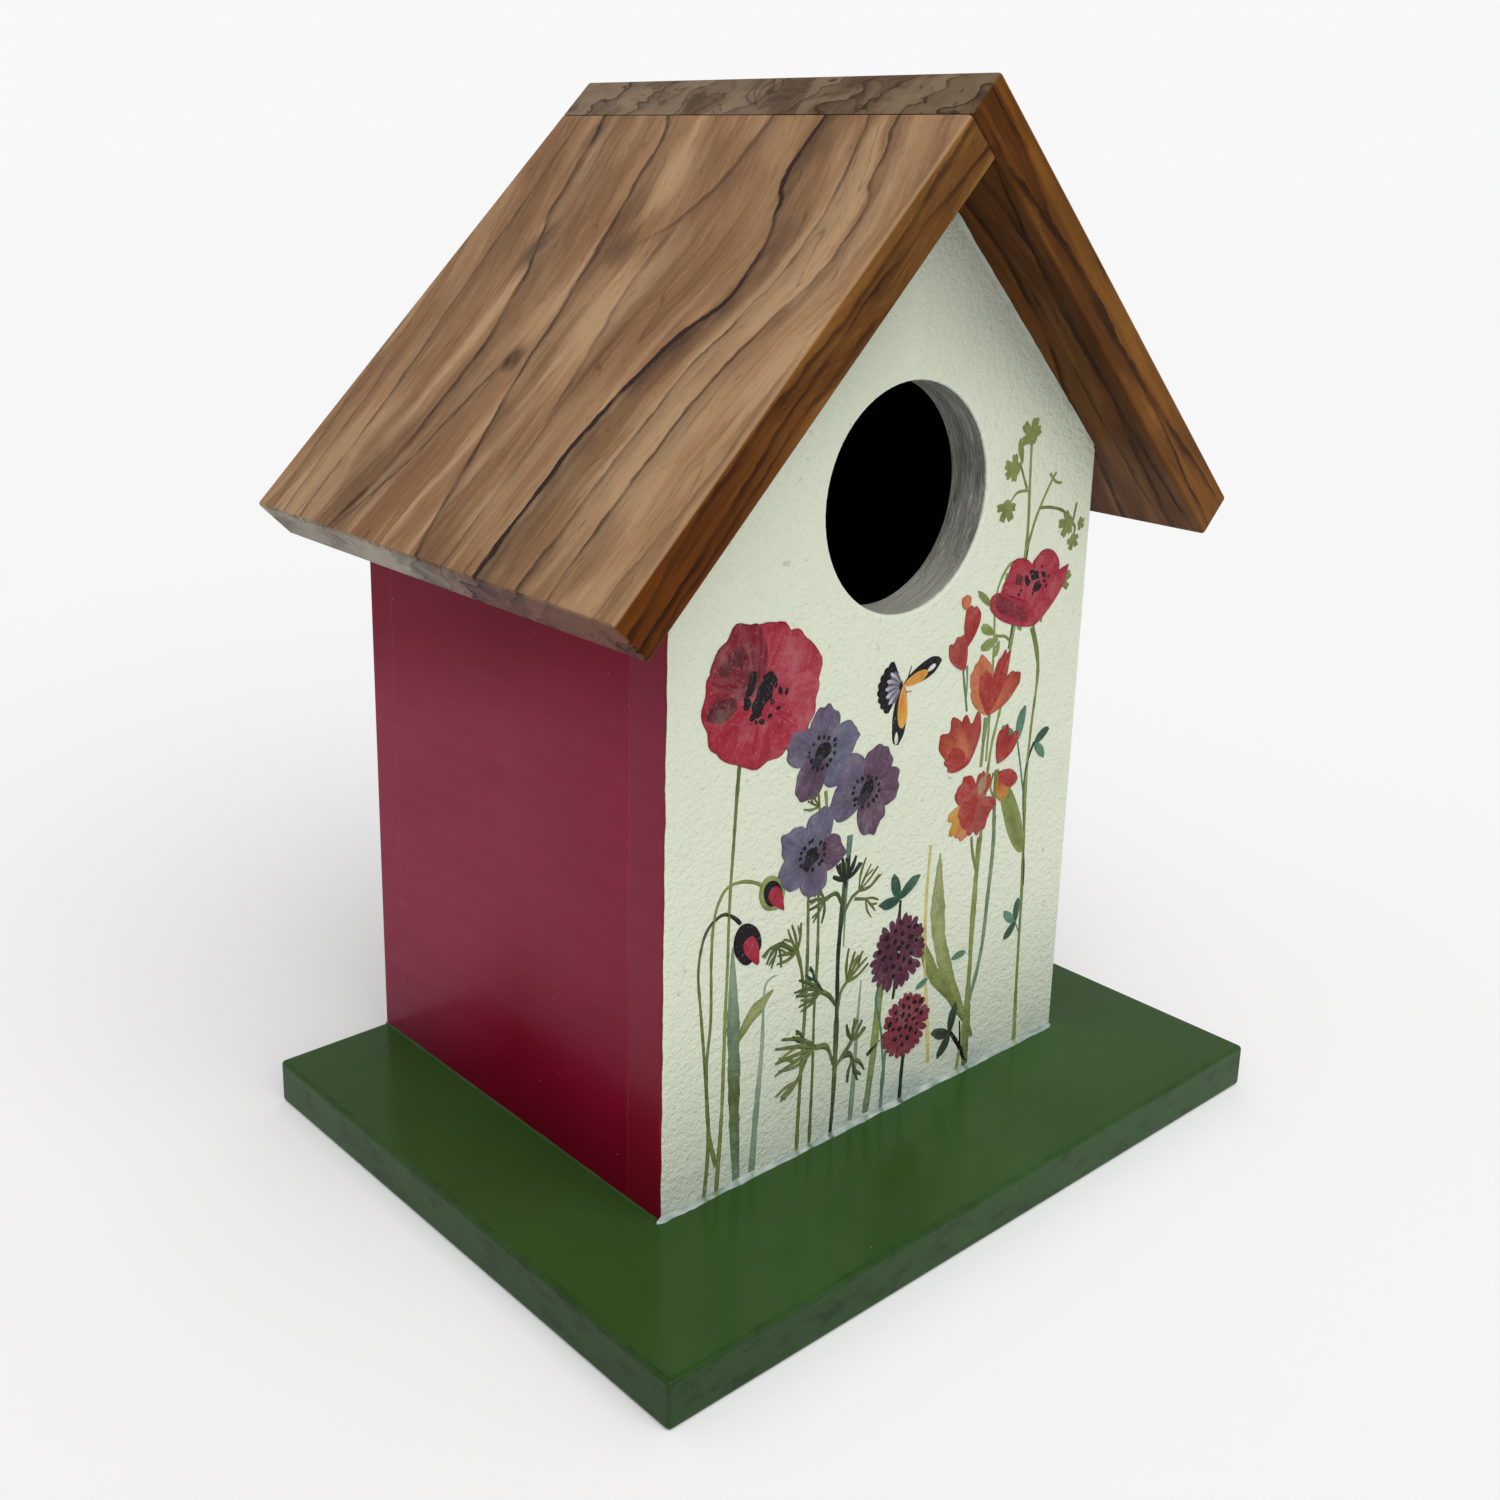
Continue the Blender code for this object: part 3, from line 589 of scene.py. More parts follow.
# (points along the line, strength, width, tail)
LEFT_LINES = (
    ([(60, -19), (96, -18), (132, -14)], 0.45, 0.6, 2.5),
    ([(0, 0), (20, -6), (36, -10), (56, -6), (75, -1), (100, 1), (132, 1)], 0.85, 0.7, 4),
    ([(0, 9), (20, 3), (38, 0.5), (56, 3), (75, 8), (100, 10), (132, 11)], 0.75, 0.6, 3.5),
    ([(0, 22), (16, 21.5), (28, 16), (48, 11), (64, 17), (80, 22), (110, 26), (132, 26)], 1.7, 1.0, 6),
    ([(92, 27), (132, 30)], 0.45, 0.5, 2),
    ([(0, 39), (20, 40), (32, 44), (40, 51), (46, 60)], 0.65, 1.2, 5),
    ([(30, 43), (48, 45), (70, 42), (98, 38)], 0.6, 0.9, 6),
    ([(60, 35), (90, 38), (132, 38)], 0.6, 0.6, 3),
    ([(0, 77), (10, 72), (25, 69), (45, 65), (66, 62), (90, 58), (132, 49)], 0.85, 1.0, 6),
    ([(70, 67), (88, 70), (108, 75), (132, 84)], 0.75, 0.9, 5),
    ([(0, 90), (30, 84), (64, 78)], 0.35, 0.8, 4),
    ([(0, 102), (16, 98), (33, 94), (50, 86), (60, 83), (84, 80), (110, 81), (132, 86)], 0.95, 1.1, 7),
    ([(0, 112), (30, 108), (60, 105), (100, 101), (132, 100)], 0.65, 0.7, 3.5),
    ([(50, 114), (90, 111), (132, 108)], 0.55, 0.6, 3),
    ([(60, 121), (100, 117), (132, 113)], 0.55, 0.6, 3),
    ([(0, -22), (50, -24), (90, -22), (132, -25)], 0.8, 0.8, 2.5),
    ([(0, -29), (60, -26), (100, -27.5), (132, -29)], 0.9, 0.8, 3),
    ([(36, -32), (80, -29.5), (132, -31.5)], 0.8, 0.7, 3),
)
LEFT_BLOTCHES = (((78, 66), (7, 5), 0.95), ((44, 88), (15, 6), 0.8), ((44, 58), (9, 9), 0.5),
                 ((6, 100), (12, 5), 0.4), ((118, 88), (34, 26), 0.34))
LEFT_PALE = (((106, 2), (46, 30), 1.3), ((58, 46), (30, 15), 0.9), ((22, 60), (16, 22), 0.7))
LEFT_FLOW = (
    [(0, 9), (38, 0.5), (75, 8), (132, 11)],
    [(0, 104), (33, 96), (60, 88), (90, 86), (132, 92)],
)
RIGHT_LINES = (
    ([(0, -31), (60, -27), (132, -30)], 0.95, 0.9, 3.5),
    ([(0, -25), (40, -28), (132, -23)], 0.9, 0.9, 5),
    ([(30, -22), (90, -20), (132, -21)], 0.8, 0.7, 3),
    ([(0, -12), (36, -19), (80, -14), (132, -8)], 0.9, 1.0, 7),
    ([(0, 0), (50, -4), (132, 3)], 0.8, 0.8, 4),
    ([(0, 13), (30, 17), (80, 12), (132, 15)], 0.9, 0.9, 6),
    ([(0, 24), (60, 26), (132, 22)], 0.7, 0.7, 4),
    ([(0, 41), (36, 37), (90, 42), (132, 36)], 0.95, 0.9, 7),
    ([(0, 56), (60, 51), (132, 55)], 0.7, 0.7, 3.5),
    ([(0, 67), (50, 73), (90, 70), (132, 74)], 0.9, 1.0, 6),
    ([(0, 85), (70, 82), (132, 90)], 0.8, 0.8, 4),
    ([(0, 99), (60, 103), (132, 98)], 0.9, 0.9, 5),
    ([(0, 112), (60, 110), (132, 114)], 0.7, 0.7, 3.5),
)
RIGHT_BLOTCHES = (((20, 38), (12, 5), 0.7), ((96, 71), (14, 5), 0.6))
RIGHT_PALE = (((40, 60), (30, 18), 0.9), ((100, 20), (34, 16), 0.8))
RIGHT_FLOW = (
    [(0, 0), (50, -4), (90, 0), (132, 3)],
    [(0, 99), (60, 103), (90, 101), (132, 98)],
)
COVER_LINES = (
    ([(0, -21), (40, -18), (132, -22)], 0.8, 0.7, 4),
    ([(0, -9), (50, -12), (132, -8)], 0.9, 0.9, 5),
    ([(0, 3), (50, 1), (132, 5)], 0.7, 0.6, 3),
    ([(0, 12), (50, 16), (132, 12)], 0.9, 0.8, 5),
    ([(0, 24), (60, 26), (132, 24)], 0.7, 0.7, 3),
)


def roof_teak(side):
    sign = -1 if side == "left" else 1
    top_face = Vector((sign * SQRT_HALF, 0, SQRT_HALF)) * ROOF_THICKNESS
    origin = Vector((0, FRONT_Y, APEX_Z)) + top_face
    # the last pair of tints greys the end grain, its own tone with a painted reflection
    grain = {"left": (LEFT_LINES, LEFT_BLOTCHES, LEFT_PALE, LEFT_FLOW, 2.0,
                      ((0.60, 0.46, 0.20), (0.36, 0.17, 0.022)), ((0.40, 0.32, 0.40), (0.66, 0.90, 1.25))),
             "right": (RIGHT_LINES, RIGHT_BLOTCHES, RIGHT_PALE, RIGHT_FLOW, 11.0,
                       ((0.42, 0.25, 0.06), (0.60, 0.40, 0.12)),
                       ((0.48, 0.52, 0.58), (0.53, 0.60, 0.72)))}[side]
    return teak(side + "_roof_teak", origin, (sign * SQRT_HALF, 0, -SQRT_HALF), (0, 1, 0),
                (sign * SQRT_HALF, 0, SQRT_HALF), *grain, arris_wear_and_highlight_at=ROOF_EDGE)


def cover_teak():
    low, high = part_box("cleanout_cover")
    origin = ((low.x + high.x) / 2, high.y, low.z)
    # the last pair of tints greys the end grain as painted reflection
    return teak("cover_teak", origin, (0, 0, 1), (1, 0, 0), (0, 1, 0), COVER_LINES, (), (),
                (COVER_LINES[0][0], COVER_LINES[4][0]), 5.0, ((0.60, 0.42, 0.22), (0.60, 0.42, 0.22)),
                ((0.53, 0.60, 0.72), (0.53, 0.60, 0.72)))


def beech():
    t = Tree("beech")
    streak = t.grain(300, detail=4)
    return t.surface(t.mix(streak, BEECH_BROWN, BEECH_PALE), 0.7)


def zinc():
    t = Tree("zinc_plated_steel")
    cloud = t.grain(700, detail=4)
    tone = t.mix(cloud, ZINC_GREY, ZINC_PALE)
    gloss = t.times_plus(cloud, 0.2, 0.22)
    return t.surface(tone, gloss, t.bump(cloud, 0.02 * MM, 0.4), Metallic=1.0)


def sealant():
    t = Tree("white_sealant")
    cloud = t.grain(140, detail=4)
    pigment = t.node("Attribute", attribute_name="pigment").outputs["Color"]
    tone = t.mix(t.band(cloud, 0.30, 0.70), t.tint(pigment, SEALANT_CLOUD), pigment)
    roughness = t.times_plus(cloud, 0.2, 0.26)
    return t.surface(tone, roughness, t.bump(cloud, 0.25 * MM, 0.5), Specular_IOR_Level=0.4)


def paint_nodes(material, names):
    for name in names:
        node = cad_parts[name]
        node.data.materials.clear()
        node.data.materials.append(material)


def smooth(names, degrees=40):
    """Shade round pieces and eased edges smooth."""
    for name in names:
        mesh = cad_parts[name].data
        mesh.shade_smooth()
        mesh.set_sharp_from_angle(angle=math.radians(degrees))


def dress_frame():
    names = list(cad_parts)
    paint_nodes(roof_teak("left"), ["left_roof_board"])
    paint_nodes(roof_teak("right"), ["right_roof_board"])
    paint_nodes(cover_teak(), ["cleanout_cover"])
    paint_nodes(crimson(), ["left_wall", "right_wall", "back_panel"])
    paint_nodes(green(), ["base_board"])
    paint_nodes(cream_front(), ["front_panel"])
    paint_nodes(beech(), [name for name in names if "dowel" in name])
    paint_nodes(zinc(), [name for name in names if "screw" in name or "washer" in name])
    smooth(names)


# -------------------------------------------------------------- painting tools
# Each plant is drawn in millimetres in a frame of its own, u across and v up
# from the top of the base; Sheet.plant turns it about and stands it in its place.
def rgb(*paint):
    """A colour given the way a paint chart gives it, 0 to 255, as linear light."""
    shares = [c / 255 for c in paint]
    return tuple(((share + 0.055) / 1.055) ** 2.4 if share > 0.04 else share / 12.92 for share in shares)


def blend(a, b, share):
    return tuple(x + (y - x) * share for x, y in zip(a, b))


def darker(tint, factor):
    return tuple(c * factor for c in tint)


def turned(point, degrees):
    c, s = math.cos(math.radians(degrees)), math.sin(math.radians(degrees))
    return point[0] * c - point[1] * s, point[0] * s + point[1] * c


def ripple(*place):
    """Smooth noise from about -1 to 1, the same on every run."""
    return noise.noise(Vector((place + (0.37, 0.71))[:3]))


def smooth_line(points, step):
    """Points about a step apart on a smooth curve through the given ones."""
    ends = [points[0]] + list(points) + [points[-1]]
    line = []
    for before, start, stop, after in zip(ends, ends[1:], ends[2:], ends[3:]):
        count = max(1, round(math.dist(start, stop) / step))
        for k in range(count):
            t = k / count
            line.append(tuple(0.5 * (2 * b + (c - a) * t + (2 * a - 5 * b + 4 * c - d) * t * t
                                     + (3 * b - a - 3 * c + d) * t ** 3)
                              for a, b, c, d in zip(before, start, stop, after)))
    return line + [points[-1]]


def sweep(rows):
    """The sides and ends of a skin whose section is given, row after row, by point numbers."""
    faces = []
    for low, high in zip(rows, rows[1:]):
        for j, start in enumerate(low):
            after = (j + 1) % len(low)
            faces.append((start, low[after], high[after], high[j]))
    return faces + [tuple(rows[0]), tuple(reversed(rows[-1]))]


def link(name, data):
    made = bpy.data.objects.new(name, data)
    bpy.context.scene.collection.objects.link(made)
    return made


def make_piece(name, points, faces, material, degrees, pigment=None, brush=None):
    """A mesh piece that rides on the house, with its paint's colours and strokes as attributes."""
    mesh = bpy.data.meshes.new(name)
    mesh.from_pydata(points, [], faces)
    if pigment:
        colours = mesh.attributes.new("pigment", "FLOAT_COLOR", "POINT")
        colours.data.foreach_set("color", [c for tint in pigment for c in (*tint, 1.0)])
    if brush:
        strokes = mesh.attributes.new("brush", "FLOAT_VECTOR", "POINT")
        strokes.data.foreach_set("vector", [c for place in brush for c in place])
    outward = bmesh.new()
    outward.from_mesh(mesh)
    bmesh.ops.recalc_face_normals(outward, faces=outward.faces)
    outward.to_mesh(mesh)
    outward.free()
    mesh.materials.append(material)
    mesh.shade_smooth()
    mesh.set_sharp_from_angle(angle=math.radians(degrees))
    made = link(name, mesh)
    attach(made, "house")
    return made


class Sheet:
    """Thin closed skins of paint on the front panel, gathered into one piece."""

    SINK = -0.02      # how far a skin's underside lies inside the panel's face
    SPREAD = 0.6      # half width of a stroke for each unit of its stated width
    STEP_UP = 0.0025  # each skin lies this much higher than the last
    DRIED_RIM = 0.965  # where the narrow dried rim inside an edge begins

    def __init__(self, name, lift):
        self.name = name
        self.lift = lift
        self.points = []
        self.faces = []
        self.pigment = []
        self.brush = []
        self.strokes_done = 0
        self.plant(0.0)

    def plant(self, shift, stretch=1.0, rise=0.0):
        """Where the next flowers stand: turned about to face left, moved, drawn out and raised."""
        self.shift = shift
        self.stretch = stretch
        self.rise = rise

    def add(self, u, v, height, tint, brush):
        across, up = self.shift - u, v * self.stretch + self.rise
        self.points.append((across * MM, FRONT_Y - height * MM, FLOOR_Z + up * MM))
        self.pigment.append(tint)
        self.brush.append(brush)
        return len(self.points) - 1

    def next_lift(self):
        self.strokes_done += 1
        return self.lift + self.STEP_UP * self.strokes_done

    def patch(self, outline, heart, inner, outer, rings=5, edge=0.72, power=1.2):
        """A blot of paint inside an outline, its strokes running out from the heart."""
        lift = self.next_lift()
        seed = self.strokes_done * 1.7
        count = len(outline)
        centre = self.add(*heart, lift, inner, (0, 0, seed))
        loops = []
        for ring in range(1, rings):
            share = ring / rings
            loops.append((share, share, lift, blend(inner, outer, share ** power)))
        loops.append((self.DRIED_RIM, 0.97, lift, blend(inner, outer, 0.9)))
        loops.append((1.0, 1.0, lift * 0.55, darker(outer, edge)))
        rows = []
        for reach, share, height, tint in loops:
            ring = [blend(heart, at, reach) for at in outline]
            rows.append([self.add(*at, height, tint, (k / count * math.tau, share, seed))
                         for k, at in enumerate(ring)])
        rows.append([self.add(*at, self.SINK, outer, (0, 1, seed)) for at in outline])
        for k in range(count):
            after = (k + 1) % count
            self.faces.append((centre, rows[0][k], rows[0][after]))
            for low, high in zip(rows, rows[1:]):
                self.faces.append((low[k], high[k], high[after], low[after]))
        self.faces.append(tuple(reversed(rows[-1])))

    def stroke(self, points, widths, tints, step=0.9, wobble=0.12, edge=0.72):
        """One brush stroke along a smooth curve, of changing width and colour."""
        line = smooth_line(points, step)
        if len(line) < 3:
            line = smooth_line(points, step / 3)
        lift = self.next_lift()
        seed = self.strokes_done * 1.3
        last = len(line) - 1
        rows = []
        for k, (u, v) in enumerate(line):
            share = k / last
            before, after = line[max(k - 1, 0)], line[min(k + 1, last)]
            run = math.dist(before, after) or 1.0
            side = (before[1] - after[1]) / run, (after[0] - before[0]) / run
            half = pick(widths, share) * self.SPREAD * (1 + wobble * 2 * ripple(u * 0.35, v * 0.35, seed))
            drift = wobble * 0.35 * ripple(v * 0.22, seed, u * 0.2)
            tint = pick(tints, share)
            dark = darker(tint, edge)
            middle = u + side[0] * drift, v + side[1] * drift
            rows.append([
                self.add(middle[0] + side[0] * out * half, middle[1] + side[1] * out * half, height, colour,
                         (out, share * last, seed))
                for out, height, colour in ((1, self.SINK, dark), (0, lift, tint), (-1, self.SINK, dark))])
        self.faces += sweep(rows)

    def dab(self, at, radius, tint, long=1.0, degrees=0, rough=0.25, edge=0.8):
        """A round or long dot of paint with an uneven edge."""
        seed = self.strokes_done * 0.9
        outline = []
        count = 14
        for k in range(count):
            turn = math.tau * k / count
            reach = radius * (1 + rough * ripple(math.cos(turn) * 1.4 + seed, math.sin(turn) * 1.4, seed))
            x, y = turned((math.cos(turn) * reach * long, math.sin(turn) * reach), degrees)
            outline.append((at[0] + x, at[1] + y))
        self.patch(outline, at, tint, tint, rings=2, edge=edge)

    def petal(self, root, degrees, length, width, inner, outer, broad=0.6, notch=0.0, ruffle=0.06,
              point=0.0, bend=0.0, rings=6, edge=0.78, power=1.2, steps=40):
        """A petal or leaf growing from its root; broad is where along it it is widest."""
        lean = math.log(broad) / math.log(0.5)
        seed = self.strokes_done * 2.3
        outline = []
        for k in range(steps):
            turn = math.tau * k / steps
            share = (1 - math.cos(turn)) / 2
            fray = 1 + ruffle * 2 * share * ripple(math.cos(turn) * 1.5 + seed, math.sin(turn) * 1.9, seed)
            dip = notch * math.exp(-((turn - math.pi) / 0.38) ** 2)
            x = length * (share ** lean) * (fray - dip)
            y = width / 2 * math.sin(turn) * (1 - share) ** point * fray
            x, y = turned((x, y), degrees + bend * share)
            outline.append((root[0] + x, root[1] + y))
        heart = turned((length * 0.12, 0), degrees)
        self.patch(outline, (root[0] + heart[0], root[1] + heart[1]), inner, outer, rings, edge, power)

    def piece(self, material):
        """Makes the piece and fixes it to the house."""
        return make_piece(self.name, self.points, self.faces, material, 35, self.pigment,
                          self.brush)


def pick(values, share):
    """A width or a tint part of the way along an evenly spaced list, or the same all along."""
    if not isinstance(values, list):
        return values
    place = share * (len(values) - 1)
    low = min(int(place), len(values) - 2)
    if isinstance(values[low], tuple):
        return blend(values[low], values[low + 1], place - low)
    return values[low] + (values[low + 1] - values[low]) * (place - low)


# ---------------------------------------------------------------- paint colours
BLACK = rgb(24, 18, 24)
INK_GREEN = rgb(34, 48, 36)
LEAF = rgb(130, 143, 76)
LEAF_PALE = rgb(152, 159, 104)
OLIVE = rgb(106, 119, 58)
SEA = rgb(110, 138, 108)
SEA_PALE = rgb(142, 162, 138)
TEAL = rgb(78, 118, 98)
PINE = rgb(30, 74, 56)
MOSS = rgb(86, 102, 52)
STRAW = rgb(196, 184, 116)
POPPY = rgb(155, 25, 51)
POPPY_ROSE = rgb(167, 60, 76)
POPPY_DEEP = rgb(94, 12, 32)
CORAL = rgb(154, 38, 33)
CORAL_ROSE = rgb(157, 68, 59)
AMBER = rgb(186, 106, 64)
YELLOW = rgb(190, 136, 46)
VIOLET = rgb(98, 86, 110)
VIOLET_BLUE = rgb(97, 95, 119)
VIOLET_ROSE = rgb(92, 64, 88)
CLOVER_DARK = rgb(88, 24, 50)
CLOVER_PURPLE = rgb(80, 44, 72)
CLOVER_PINK = rgb(122, 40, 58)
POOLED = (0.52, 0.48, 0.52)                 # multiplies the paint where it dried deep
WATERED = (0.62, 0.66, 0.53)                # and what it pales to where it is thin
PANEL_TOOTH = (0.55, 0.60, 0.48)            # the panel's paint showing through
WING_WHITE = rgb(214, 216, 200)
WING_DARK = rgb(110, 100, 120)
WING_TIPS = (rgb(96, 90, 118), rgb(196, 196, 196))
WING_AMBER = (rgb(202, 122, 48), rgb(208, 154, 54))
WING_ORANGE = (rgb(202, 116, 48), rgb(210, 162, 60))

# Where each plant stands, as Sheet.plant's shift and stretch.
CUPPED_POPPY = (-2, 1.14)
OPEN_POPPY = (4, 0.88)
BUDS = (4, 0.84)
ANEMONES = (4, 1.12)
FREESIAS = (20, 1.10)
CLOVERS = (-34, 1.0)
SPRIG = (4, 1.0)
BLADES = (22, 1.0)


def watercolour():
    """Paint whose pigment comes from the mesh, streaked the way each stroke was brushed."""
    t = Tree("flower_paint")
    pigment = t.node("Attribute", attribute_name="pigment").outputs["Color"]
    brush = t.node("Attribute", attribute_name="brush").outputs["Vector"]
    streak = t.noise(t.vector("MULTIPLY", brush, (3.4, 1.6, 1.0)), detail=4, roughness=0.6)
    pool = t.grain(190, detail=5, roughness=0.62)
    grain = t.grain(1500, detail=2)
    deep = t.tint(pigment, POOLED)
    body = t.band(t.vector("LENGTH", pigment), 0.02, 0.12)
    pale = t.wash(pigment, WATERED, body, 0.16)
    tone = t.mix(t.band(streak, 0.34, 0.66), deep, pale)
    tone = t.mix(0.74, tone, pigment)
    tone = t.wash(tone, deep, t.band(pool, 0.48, 0.66), 0.46)
    tone = t.wash(tone, pale, t.band(pool, 0.48, 0.32), 0.55)
    tone = t.wash(tone, PANEL_TOOTH, t.band(grain, 0.60, 0.72), 0.12)
    roughness = t.times_plus(pool, 0.16, 0.46)
    return t.surface(tone, roughness, t.bump(stipple(t), 0.30 * MM, 0.8), Specular_IOR_Level=0.14)


# ----------------------------------------------------------------- the painting
def paint_open_poppy(sheet):
    """A poppy seen from the front, with its stamens."""
    sheet.plant(OPEN_POPPY[0], rise=-17)
    heart = (49, 139)
    petals = (
        (110, 16.5, 17, POPPY_ROSE, POPPY), (-10, 17, 20, POPPY_DEEP, POPPY),
        (160, 18.5, 19, POPPY_ROSE, POPPY), (208, 19, 19, POPPY, POPPY_ROSE), (308, 16, 19, POPPY, POPPY),
        (260, 17, 21, POPPY, POPPY),
    )
    for degrees, length, width, inner, outer in petals:
        sheet.petal(heart, degrees, length, width, inner, outer, ruffle=0.055, broad=0.68, edge=0.72)
    sheet.petal(heart, 54, 18.5, 18, blend(POPPY_DEEP, BLACK, 0.15), blend(POPPY, POPPY_DEEP, 0.5),
                ruffle=0.05, broad=0.64, power=0.8, edge=0.6)
    shadows = (((56, 149), 2.2, 1.5, 70), ((59.6, 147), 1.8, 1.4, 40), ((60, 138), 2.8, 1.6, -6))
    for at, radius, long, degrees in shadows:
        sheet.dab(at, radius, blend(POPPY_DEEP, BLACK, 0.15), long, degrees, rough=0.6, edge=0.95)
    throat = (
        ((48.5, 138.5), 2.6, 1.7, -55), ((46, 142), 1.5, 1.6, 35), ((52, 141.5), 1.3, 2.2, -65),
        ((50, 135), 1.4, 2.0, -40), ((53, 138), 1.2, 1.4, 80), ((51.5, 144), 1.0, 1.2, 0),
    )
    for at, radius, long, degrees in throat:
        sheet.dab(at, radius, BLACK, long, degrees, rough=0.6, edge=1.0)
    anthers = (
        (-5.5, -4), (-3.6, -2.2), (-6, 0), (-4.6, 1.4), (-3, -5.4), (-0.6, -6.2), (1.2, -6), (-8, -0.6),
    )
    for k, (du, dv) in enumerate(anthers):
        sheet.dab((heart[0] + du, heart[1] + dv), 0.45 + 0.12 * (k % 3), BLACK, 1.5, 40 * k, edge=1.0)


def paint_cupped_poppy(sheet):
    """A poppy seen from the side: two humps behind a bowl."""
    sheet.plant(CUPPED_POPPY[0], rise=16)
    left_hump = [(-60, 114), (-62, 118.5), (-61.5, 122), (-58.5, 124.8), (-55, 125.3), (-52.5, 123.8),
                 (-50.5, 121.5), (-49, 114)]
    right_hump = [(-52, 113), (-51.5, 120.5), (-49, 123.4), (-46, 124.4), (-43, 124), (-41.5, 121),
                  (-39, 116.5), (-42, 112)]
    for hump in (left_hump, right_hump):
        sheet.patch(smooth_line(hump + hump[:1], 1.5)[:-1], (-51.5, 115.5), POPPY_ROSE, POPPY, edge=0.8)
    bowl = smooth_line([(-66, 120), (-62, 119), (-57, 117), (-50, 115.5), (-44, 114.5), (-39, 116.5),
                        (-35.5, 116), (-35, 113), (-39, 109.5), (-45, 107), (-52, 105.5), (-56, 107),
                        (-61, 111), (-65, 115.5)], 1.5)
    sheet.patch(bowl, (-52, 111.5), POPPY, blend(POPPY, POPPY_ROSE, 0.25), edge=0.8)
    sheet.dab((-40.5, 113), 2.4, blend(POPPY_DEEP, POPPY, 0.25), 2.0, 28, rough=0.5, edge=0.95)
    sheet.dab((-46, 110), 2.2, blend(POPPY_DEEP, POPPY, 0.45), 1.9, 20, rough=0.6, edge=0.95)
    sheet.dab((-45.5, 118.8), 1.6, POPPY_DEEP, 1.0, 0, rough=0.3, edge=0.9)
    stamens = (
        ((-52, 119), 1.3, 1.5, 10), ((-49, 118), 1.0, 1.7, 65), ((-53, 116), 1.5, 1.1, 0),
        ((-55.3, 119), 0.7, 1.7, 40), ((-50.5, 120.2), 0.7, 1.4, 0), ((-56, 117), 0.5, 1.5, 10),
    )
    for at, radius, long, degrees in stamens:
        sheet.dab(at, radius, BLACK, long, degrees, rough=0.6, edge=1.0)
    for at in ((-57.5, 118), (-46.5, 116), (-45.8, 115), (-54.6, 121), (-51.5, 114.4), (-56.8, 115.6)):
        sheet.dab(at, 0.4, BLACK, 1.4, at[0] * 30, edge=1.0)


def paint_poppies(sheet):
    paint_open_poppy(sheet)
    paint_cupped_poppy(sheet)


def paint_freesias(sheet):
    """A spray of coral and amber freesias."""
    # root, then (angle, length, width, inner, outer, notch) for each petal
    blooms = (
        ((-5, 109.5), ((104, 11.5, 6.6, CORAL, CORAL, 0.12),)),
        ((-4.6, 104), ((62, 11, 7.6, CORAL, CORAL_ROSE, 0.10),)),
        ((-14.6, 91.5),
         ((72, 17.5, 9.5, CORAL_ROSE, AMBER, 0.1), (56, 12, 6, AMBER, AMBER, 0.0),
          (146, 16, 6.2, AMBER, CORAL, 0.0), (115, 18.5, 6.0, CORAL, CORAL, 0.0),
          (96, 12.5, 9.5, CORAL, CORAL, 0.25), (80, 13, 6.5, CORAL, CORAL, 0.0))),
        ((-8.4, 81),
         ((92, 15, 8.6, CORAL_ROSE, CORAL, 0.25), (47, 16.5, 11, AMBER, CORAL, 0.15),
          (20, 11, 7, CORAL, CORAL, 0.0))),
        ((-20, 78.5), ((122, 11.5, 9.5, CORAL, CORAL, 0.28),)),
        ((-20.5, 76), ((238, 9, 6.5, CORAL, YELLOW, 0.0), (205, 9.5, 5, CORAL, CORAL, 0.0))),
        ((-12.6, 70.4),
         ((338, 13.5, 7.5, YELLOW, YELLOW, 0.1), (312, 11.5, 6.5, YELLOW, AMBER, 0.1),
          (118, 9, 6.5, CORAL_ROSE, CORAL, 0.1), (40, 11, 8.5, CORAL, CORAL, 0.12),
          (222, 9, 9.5, CORAL_ROSE, CORAL, 0.1), (275, 10, 7.5, CORAL_ROSE, CORAL_ROSE, 0.1),
          (330, 9, 8.5, CORAL, CORAL, 0.1))),
    )
    sheet.plant(*FREESIAS)
    for root, petals in blooms:
        for degrees, length, width, inner, outer, notch in petals:
            sheet.petal(root, degrees, length * 0.87, width * 0.90, inner, outer, notch=notch, ruffle=0.08,
                        broad=0.66, edge=0.7)
    sheet.petal((-3.6, 118.4), 95, 3.2, 3.4, AMBER, AMBER, ruffle=0.1)
    sheet.dab((-14.2, 74.5), 1.6, rgb(150, 122, 90), 1.6, 115, rough=0.4, edge=0.95)


